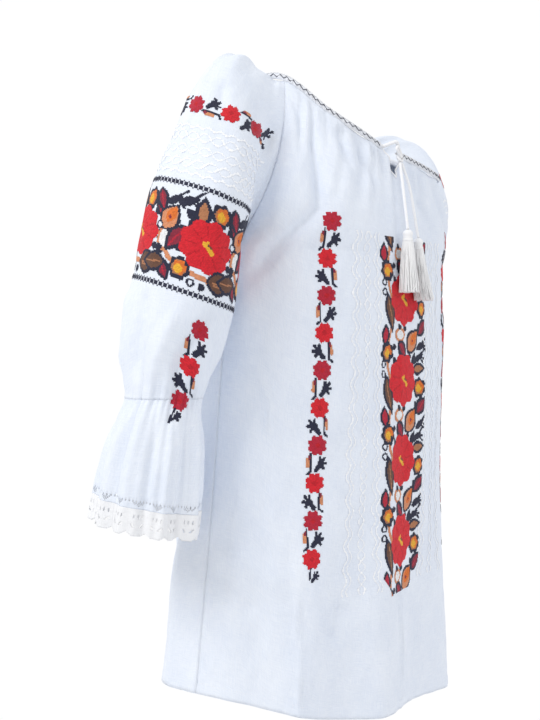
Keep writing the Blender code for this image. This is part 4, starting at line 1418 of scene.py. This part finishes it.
# %% The sleeve bands
BAND_TOP, BAND_BOTTOM = 123, 222
band_chart = Chart(-126, BAND_TOP - 4, 126, BAND_BOTTOM + 4)
for number in range(-2, 2):
    band_repeat(band_chart, 44.5 + 80 * number, 175.5)
band_chart.fill((band_chart.y < BAND_TOP + 3.5) | (band_chart.y > BAND_BOTTOM - 4), None)
chain_border(band_chart, BAND_TOP)
chain_border(band_chart, BAND_BOTTOM)
for side, word in SIDES:
    embroider(f"sleeve_band_{word}", band_chart, on_sleeve(side), seed=7)

# %% The centre of the front


def centre_repeat(chart, x, y, flower=True):
    """One repeat of the centre panel: a flower, and the leaves and fruits on the way to the next."""
    chart.home = (x, y)
    chart.line([(-27, 30), (-31, 44), (-31, 52)], 3.8, "peach")
    chart.line([(-32, 60), (-30, 72), (-25, 84)], 3.8, "peach")
    chart.leaf((-34, -6), (-24, 36), 17.0, "brown", "navy", 3.0, "tan")
    yellow_flower(chart, 36, 9, 11.5)
    chart.leaf((29, 37), (49, 19), 17.0, "maroon", "navy", 3.4, "crimson")
    bud_loop(chart, -9, 37, 20, 15)
    chart.leaf((-37, 48), (-37, 26), 14.0, "crimson", "navy", 3.0)
    fruit(chart, 18, 43, 30, 26, 0.7)
    chart.leaf((-12, 43), (4, 62), 16.5, "maroon", "navy", 3.8, "crimson")
    yellow_flower(chart, -32, 56, 11.5)
    forked_leaf(chart, 38, 47, 16, 1)
    forked_leaf(chart, 34, 60, 14, 1)
    chart.leaf((22, 74), (47, 72), 14.0, "tan", "navy", 3.2)
    chart.leaf((20, 71), (26, 55), 9.0, None)
    chart.leaf((-20, 60), (-16, 70), 6.0, None)
    for dy in (68, 78):
        little_ring(chart, -38, dy, 8)
    for dx, dy in ((-10, 29), (2, 30), (-20, 50), (13, 60), (29, 27), (-27, -24), (27, -20)):
        chart.flower(dx, dy, 3.5, 3, "navy", 0.2)
    if flower:
        large_flower(chart, 0, 0, 28.0, 0.2)
    chart.home = (0, 0)


CENTRE_TOP, CENTRE_BOTTOM, CENTRE_HALF = 152, 524, 46
centre_chart = Chart(-CENTRE_HALF, CENTRE_TOP, CENTRE_HALF, CENTRE_BOTTOM)
for number in range(-1, 5):
    centre_repeat(centre_chart, 0, 216.5 + 84.5 * number, flower=number in range(4))
taper = CENTRE_HALF - 19 * smooth((centre_chart.y - 496) / 28)
centre_chart.fill(np.abs(centre_chart.x) > taper, None)
embroider("centre_panel", centre_chart, on_front, seed=8)

# %% [markdown]
# ### White on white
#
# Between the coloured columns lie columns of white satin stitch: ovals in a chain between two wavy rails.
# A band of the same work crosses the sleeve above the wide band. The thread is the cloth's own white, so only
# its relief, its sheen and a faint painted shade and highlight on its strands show it.

# %% White work


WHITE_REPEAT = 11.5


def white_braid(chart, off, run, rail, swing, repeat, width=0.85):
    """Two wavy lines that cross, so that ovals lie in a chain between them."""
    wave = swing * np.sin(np.pi * run / repeat)
    for side in (-1, 1):
        chart.fill(np.abs(off - rail - side * wave) < width, "white")


def white_column(top, bottom):
    """A chain of ovals between two double wavy rails, which stand farther apart towards the hem."""
    chart = Chart(-98, top, -40, bottom, 1.3)
    share = (chart.y - top) / (bottom - top)
    half = mix(17.5, 22.5, share)
    off = chart.x - mix(-63.0, -69.5, share)
    wave = 2.8 * np.sin(np.pi * chart.y / WHITE_REPEAT)
    for side in (-1, 1):
        chart.fill(np.abs(off - side * (half + wave)) < 0.95, "white")
        chart.fill(np.abs(off - side * (half - 5.5 + wave)) < 0.75, "white")
    white_braid(chart, off, chart.y, 0, 4.0, WHITE_REPEAT)
    return chart


column = white_column(150, 516)
embroider("white_column_right", column, on_front, seed=9, finish=satin_thread)
embroider("white_column_left", column, on_front, mirrored=True, seed=10, finish=satin_thread)

white_band = Chart(-112, 60, 112, 116, 1.3)
x, y = white_band.x, white_band.y
for rail in (64, 112):
    white_band.fill(np.abs(y - rail - 1.2 * np.sin(2 * np.pi * x / 12)) < 0.95, "white")
for rail, shift in ((74, 0), (88, 9), (102, 0)):
    white_braid(white_band, y, x + shift, rail, 4.4, 13.0)
for side, word in SIDES:
    embroider(f"white_band_{word}", white_band, on_sleeve(side), seed=11, finish=satin_thread)

# %% [markdown]
# ## Neck edge and drawstring
#
# A soft casing follows the neck edge. It is drawn up on its cord, so it swells and sinks all the way round,
# and it is open at the slit, where both ends of the cord come out.

# %% Courses and round threads


def even_course(places, count):
    """A smooth curve through the places, with evenly spaced points."""
    places = np.array(places, float)
    ends = np.vstack([2 * places[0] - places[1], places, 2 * places[-1] - places[-2]])
    share = np.linspace(0, len(places) - 1, 40 * len(places))
    span = np.minimum(share.astype(int), len(places) - 2)
    t = (share - span)[:, None]
    before, low, high, after = (ends[span + i] for i in range(4))
    course = 2 * low + (high - before) * t + (2 * before - 5 * low + 4 * high - after) * t**2
    course = (course + (3 * low - before - 3 * high + after) * t**3) / 2
    run = run_along(course)
    wanted = np.linspace(0, run[-1], count)
    return np.stack([np.interp(wanted, run, course[:, i]) for i in range(3)], axis=-1)


def round_threads(name, courses, radius, resolution=0):
    """Round threads along the courses: a curve with a bevel, turned into one mesh."""
    curve = bpy.data.curves.new(name, "CURVE")
    curve.dimensions = "3D"
    curve.bevel_depth = radius
    curve.bevel_resolution = resolution
    curve.use_fill_caps = True
    for course in courses:
        line = curve.splines.new("POLY")
        line.points.add(len(course) - 1)
        line.points.foreach_set("co", np.column_stack([course, np.ones(len(course))]).reshape(-1))
    maker = bpy.data.objects.new(name, curve)
    scene.collection.objects.link(maker)
    graph = bpy.context.evaluated_depsgraph_get()
    mesh = bpy.data.meshes.new_from_object(maker.evaluated_get(graph))
    bpy.data.objects.remove(maker)
    bpy.data.curves.remove(curve)
    mesh.name = name
    for layer in list(mesh.uv_layers):
        mesh.uv_layers.remove(layer)
    corners = read_out(mesh.loops, "vertex_index", kind=int)
    flat = read_out(mesh.vertices, "co", 3)[corners][:, (0, 2)]
    set_values(mesh.uv_layers.new(name="cloth").data, "uv", flat)
    for polygon in mesh.polygons:
        polygon.use_smooth = True
    return mesh

# %% Laid cord


def twisted_cord(course, radius, plies=3, lay=0.009, sides=21):
    """The grid of a laid cord: its section has a lobe for each ply and turns once in each lay."""
    along = unit(np.gradient(course, axis=0))
    side = np.zeros_like(along)
    side[0] = unit(np.cross(along[0], (0.3, 0.9, 0.31)))
    for i in range(1, len(course)):
        side[i] = unit(side[i - 1] - along[i] * np.dot(side[i - 1], along[i]))
    over = np.cross(along, side)
    turn = np.linspace(0, 2 * np.pi, sides + 1)[:, None]
    lobe = np.abs(np.cos(plies * (turn - 2 * np.pi * run_along(course)[None, :] / lay) / 2))
    reach = (radius * (0.80 + 0.24 * lobe))[..., None]
    return course + reach * (np.cos(turn)[..., None] * side + np.sin(turn)[..., None] * over)


def add_cord(name, course, radius, *replaced, **how):
    mesh = cloth_grid(name, twisted_cord(course, radius, **how), None)
    return add_piece(name, mesh, white_thread, *replaced, slot="thread")


# %% Casing round the neck
CASING_HEIGHT = 0.0070
CASING_LEAN = 0.25
CASING_HALF = 0.00150
CASING_SIDES = 16
CASING_STEPS = 900
NECK_START = RAGLAN_FRONT * SLIT_OPENING


def neck_edge(count):
    """Evenly spaced places from the slit round the wearer's left and back, with the ways out and up."""
    angle = np.linspace(NECK_START, 360 - NECK_START, 3000)
    fine = neck(np.where(angle > 180, angle - 360, angle))
    run = run_along(fine)
    angle = np.interp(np.linspace(0, run[-1], count), run, angle)
    place = neck(np.where(angle > 180, angle - 360, angle))
    inward = unit(-place * (1.0, 1.0, 0.0))
    up = unit(inward * CASING_LEAN + (0, 0, 1))
    along = unit(np.gradient(place, axis=0))
    out = unit(np.cross(up, along))
    out = out * np.where((out * inward).sum(axis=-1) > 0, -1, 1)[:, None]
    return place, up, out, np.linspace(0, run[-1], count)


def on_casing(place, up, out, run, rise, proud):
    """A place on the casing's outer face; rise is 0 at its seam and 1 at its upper edge."""
    puff = 1 + 0.20 * np.sin(run * 1150 + 2.2 * np.sin(run * 83))
    puff = puff + 0.10 * np.sin(run * 2700 + 3 * np.sin(run * 130))
    half = CASING_HALF * puff * np.sqrt(np.clip(1 - (2 * rise - 1) ** 2, 0, 1))
    return place + up * (rise * CASING_HEIGHT)[:, None] + out * (half + proud)[:, None]


edge, edge_up, edge_out, edge_run = neck_edge(CASING_STEPS)
rows = []
for turn in np.linspace(0, 2 * np.pi, CASING_SIDES + 1):
    rise = np.full(CASING_STEPS, np.clip(0.5 - 0.56 * math.cos(turn), 0.001, 0.999))
    face = on_casing(edge, edge_up, edge_out, edge_run, rise, 0.0)
    spine = edge + edge_up * (rise * CASING_HEIGHT)[:, None]
    rows.append(face if turn <= math.pi else 2 * spine - face)
mesh = cloth_grid("neck_casing", np.array(rows), None)
add_sheet("neck_casing", mesh, casing_cotton, "neck_binding", None, slot="binding_cotton")
print("the casing is", round(float(edge_run[-1]), 3), "m round")

# %% Stitches on the casing
ZIGZAG = 0.0040
zigzag_count = int(edge_run[-1] / ZIGZAG)
at = np.linspace(8, CASING_STEPS - 9, zigzag_count).astype(int)
swing = np.where(np.arange(zigzag_count) % 2 == 0, 0.26, 0.70)
zigzag = on_casing(edge[at], edge_up[at], edge_out[at], edge_run[at], swing, 0.0004)
mesh = round_threads("casing_zigzag", [zigzag], 0.00050)
add_piece("casing_zigzag", mesh, navy_thread, slot="thread")
at = np.linspace(4, CASING_STEPS - 5, zigzag_count * 3).astype(int)
swing = np.where(np.arange(len(at)) % 2 == 0, 0.86, 0.97)
whip = on_casing(edge[at], edge_up[at], edge_out[at], edge_run[at], swing, 0.0003)
mesh = round_threads("casing_whipping", [whip], 0.00045)
add_piece("casing_whipping", mesh, white_thread, slot="thread")
print("zigzag points round the casing:", zigzag_count)

# %% [markdown]
# ### Bow and free ends
#
# The wearer's right end arches over the slit to the knot, which sits at its left edge. The knot is a few
# turns of the cord, with one small loop left in it. Both free ends hang from the knot, each with its tassel.

# %% Knot, loop and ties
KNOT = np.array((0.0040, -0.1010, -0.0660))
CORD_DIAMETER = 0.0028
SEAM_GAP = 0.0003


def ring_course(middle, across, over, count=60):
    turn = np.linspace(0, 2 * np.pi, count + 1)[:, None]
    return np.array(middle) + np.cos(turn) * np.array(across) + np.sin(turn) * np.array(over)


def joined(name, parts):
    """One mesh made of several."""
    bm = bmesh.new()
    for part in parts:
        bm.from_mesh(part)
        bpy.data.meshes.remove(part)
    return mesh_of(bm, name)


KNOT_TURNS = (
    ((0, 0, 0), (0.0034, 0.0002, 0.0006), (0.0004, 0.0017, 0.0026)),
    ((0.0003, -0.0002, 0.0002), (0.0012, 0.0004, 0.0033), (-0.0021, 0.0016, 0.0006)),
    ((-0.0002, 0.0001, -0.0004), (0.0030, -0.0010, -0.0018), (0.0014, 0.0016, 0.0018)),
)
turns = []
for shift, across, over in KNOT_TURNS:
    course = ring_course(KNOT + shift, across, over)
    turns.append(cloth_grid("knot_turn", twisted_cord(course, CORD_DIAMETER / 2), None))
add_piece("bow_turns", joined("bow_turns", turns), white_thread, "bow_knot", slot="thread")

LOOP_STEPS = (
    (-0.0016, -0.0022, 0.0008),
    (-0.0052, -0.0026, 0.0022),
    (-0.0125, -0.0026, 0.0075),
    (-0.0100, -0.0024, 0.0108),
    (-0.0045, -0.0026, 0.0060),
    (-0.0010, -0.0022, 0.0020),
)
add_cord("bow_ear", even_course(KNOT + LOOP_STEPS, 90), CORD_DIAMETER * 0.52, "bow_loop")

right_end = edge[-1] + edge_up[-1] * CASING_HEIGHT / 2
left_end = edge[0] + edge_up[0] * CASING_HEIGHT / 2
ARCH_STEPS = (
    (-0.0125, 0.0010, 0.0150),
    (-0.0065, -0.0002, 0.0150),
    (-0.0020, 0.0002, 0.0050),
    (-0.0005, 0.0, 0.0022),
)
arch = [right_end - (edge[-1] - edge[-2]) * 6, right_end + (0.0014, -0.0006, 0.0004), *(KNOT + ARCH_STEPS)]
add_cord("tie_from_right", even_course(arch, 120), CORD_DIAMETER * 0.68, "tie_right")
tie = [left_end - (edge[0] - edge[1]) * -6, left_end + (-0.0014, -0.0010, 0), KNOT + (0.0030, 0.0004, 0.0004)]
add_cord("tie_from_left", even_course(tie, 50), CORD_DIAMETER / 2, "tie_left")
print("turns in the knot:", len(KNOT_TURNS))

# %% Helpers for the tassels
CORD_ROUTES = {
    "right": ((-0.0018, -0.0010, -0.0051), (-0.0075, -0.0070, -0.030), (-0.0130, -0.0155, -0.0775)),
    "left": ((0.0021, -0.0012, -0.0050), (0.0070, -0.0085, -0.033), (0.0085, -0.0172, -0.0845)),
}
TASSEL_LENGTH = 0.066
TASSEL_HEAD = 0.0120
TASSEL_PROFILE = (
    (0.0010, 0.0),
    (0.0030, -0.0006),
    (0.0050, -0.0026),
    (0.0054, -0.0045),
    (0.0049, -0.0066),
    (0.0041, -0.0080),
    (0.0044, -0.0096),
    (0.0058, -0.0120),
)
TASSEL_THREADS = 300
TASSEL_NECK = 0.0048
TASSEL_TIP = 0.0100
TASSEL_LEANS = {"right": (0.000, -0.001), "left": (0.008, -0.003)}


def tassel_courses(top, lean, seed):
    """The skirt's threads: they leave the head close together and fall apart towards their tips."""
    random = np.random.RandomState(seed)
    courses = []
    for strand in range(TASSEL_THREADS):
        share = math.sqrt((strand + 0.5) / TASSEL_THREADS)
        turn = strand * math.radians(137.5)
        aside = np.array((math.cos(turn), math.sin(turn), 0)) * share
        length = TASSEL_LENGTH - 0.006 * random.rand() ** 2
        drift = random.normal(0, 0.0007, 2)
        steps_down = np.linspace(0, 1, 7)[:, None]
        spread = TASSEL_NECK + (TASSEL_TIP - TASSEL_NECK) * steps_down**0.75
        fall = np.array((lean[0] + drift[0], lean[1] + drift[1], 0)) * steps_down**1.6
        crosswise = np.array((math.sin(turn), -math.cos(turn), 0))
        sway = 0.0006 * np.sin(steps_down * 7 + strand) * crosswise * steps_down
        drop = np.array((0, 0, -1)) * (TASSEL_HEAD * 0.75 + (length - TASSEL_HEAD * 0.75) * steps_down)
        courses.append(top + aside * spread + fall + sway + drop)
    return courses


def tassel_head(name, top):
    bm = bmesh.new()
    line = [bm.verts.new((radius, 0, height)) for radius, height in TASSEL_PROFILE]
    edges = [bm.edges.new(pair) for pair in zip(line, line[1:])]
    centre = {"cent": (0, 0, 0), "axis": (0, 0, 1)}
    bmesh.ops.spin(bm, geom=line + edges, angle=math.tau, steps=48, use_merge=True, **centre)
    for vert in bm.verts:
        turn = math.atan2(vert.co.y, vert.co.x)
        swell = 1 + 0.045 * math.sin(24 * turn) * smooth(min(1, -vert.co.z / 0.003))
        vert.co.x *= swell
        vert.co.y *= swell
    bmesh.ops.recalc_face_normals(bm, faces=bm.faces)
    bmesh.ops.translate(bm, vec=Vector(top), verts=bm.verts)
    for face in bm.faces:
        face.smooth = True
    return mesh_of(bm, name)

# %% Both free ends
WRAP_RADIUS = 0.0045
for seed, (word, route) in enumerate(CORD_ROUTES.items()):
    path = even_course(KNOT + route, 60)
    length = round(float(run_along(path)[-1]), 4)
    cord = add_cord(f"free_cord_{word}", even_course(KNOT + route, 260), CORD_DIAMETER * 0.57, f"cord_{word}")
    top = path[-1] + (0, 0, -SEAM_GAP)
    wraps = []
    for number in range(5):
        middle = top + (0, 0, -0.0070 - 0.0005 * number)
        wraps.append(ring_course(middle, (WRAP_RADIUS, 0, 0), (0, WRAP_RADIUS, 0), 40))
    skirt = round_threads(f"tassel_skirt_{word}", tassel_courses(top, TASSEL_LEANS[word], seed), 0.00045)
    name = f"tassel_head_{word}"
    head = joined(name, (tassel_head(name, top), round_threads("tassel_wraps", wraps, 0.00036, 1)))
    bound_head = add_piece(name, head, white_thread, f"tassel_{word}", slot="thread")
    add_piece(f"tassel_skirt_{word}", skirt, tassel_thread, f"tassel_{word}", slot="thread")
    print(word, "free end:", length, "m;", len(skirt.polygons), "faces in its tassel")

# %% [markdown]
# ## Plain stitching
#
# A line of small white stitches holds the hem, and a fine cord edges the slit.

# %% Hem stitches and slit edge
STITCH_PITCH = 0.0034
HALF_HEM = 0.30


def hem_stitches(cloth, facing):
    """Short white stitches a little way above the hem, along one panel."""
    courses = []
    for middle in np.arange(-0.985, 0.985, STITCH_PITCH / HALF_HEM):
        across = middle + np.linspace(-0.3, 0.3, 3) * STITCH_PITCH / HALF_HEM
        angle = panel_angle(across, facing)
        down = 2 - HEM_DEPTH / (UNDERARM - hem_height(angle))
        courses.append(cloth(across, down, np.array((0.0003, 0.0007, 0.0003))))
    return courses


courses = hem_stitches(front_cloth, 1) + hem_stitches(back_cloth, -1)
mesh = round_threads("hem_stitches", courses, 0.00022)
add_piece("hem_stitches", mesh, white_thread, slot="thread")
run = np.linspace(-1, 1, 119)
slit_line = front_cloth(SLIT_OPENING * run, SLIT_DEPTH * (1 - np.abs(run)), np.full(len(run), 0.0004))
add_cord("slit_edging", even_course(slit_line, 160), 0.0009, lay=0.004)
print("hem stitches:", len(courses))

# %% [markdown]
# ## Sizes
#
# The reach of the finished pieces is set beside that of the CAD model.

# %% Sizes and finish
[[list(corner) for corner in box] for box in (cad_box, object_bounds())]
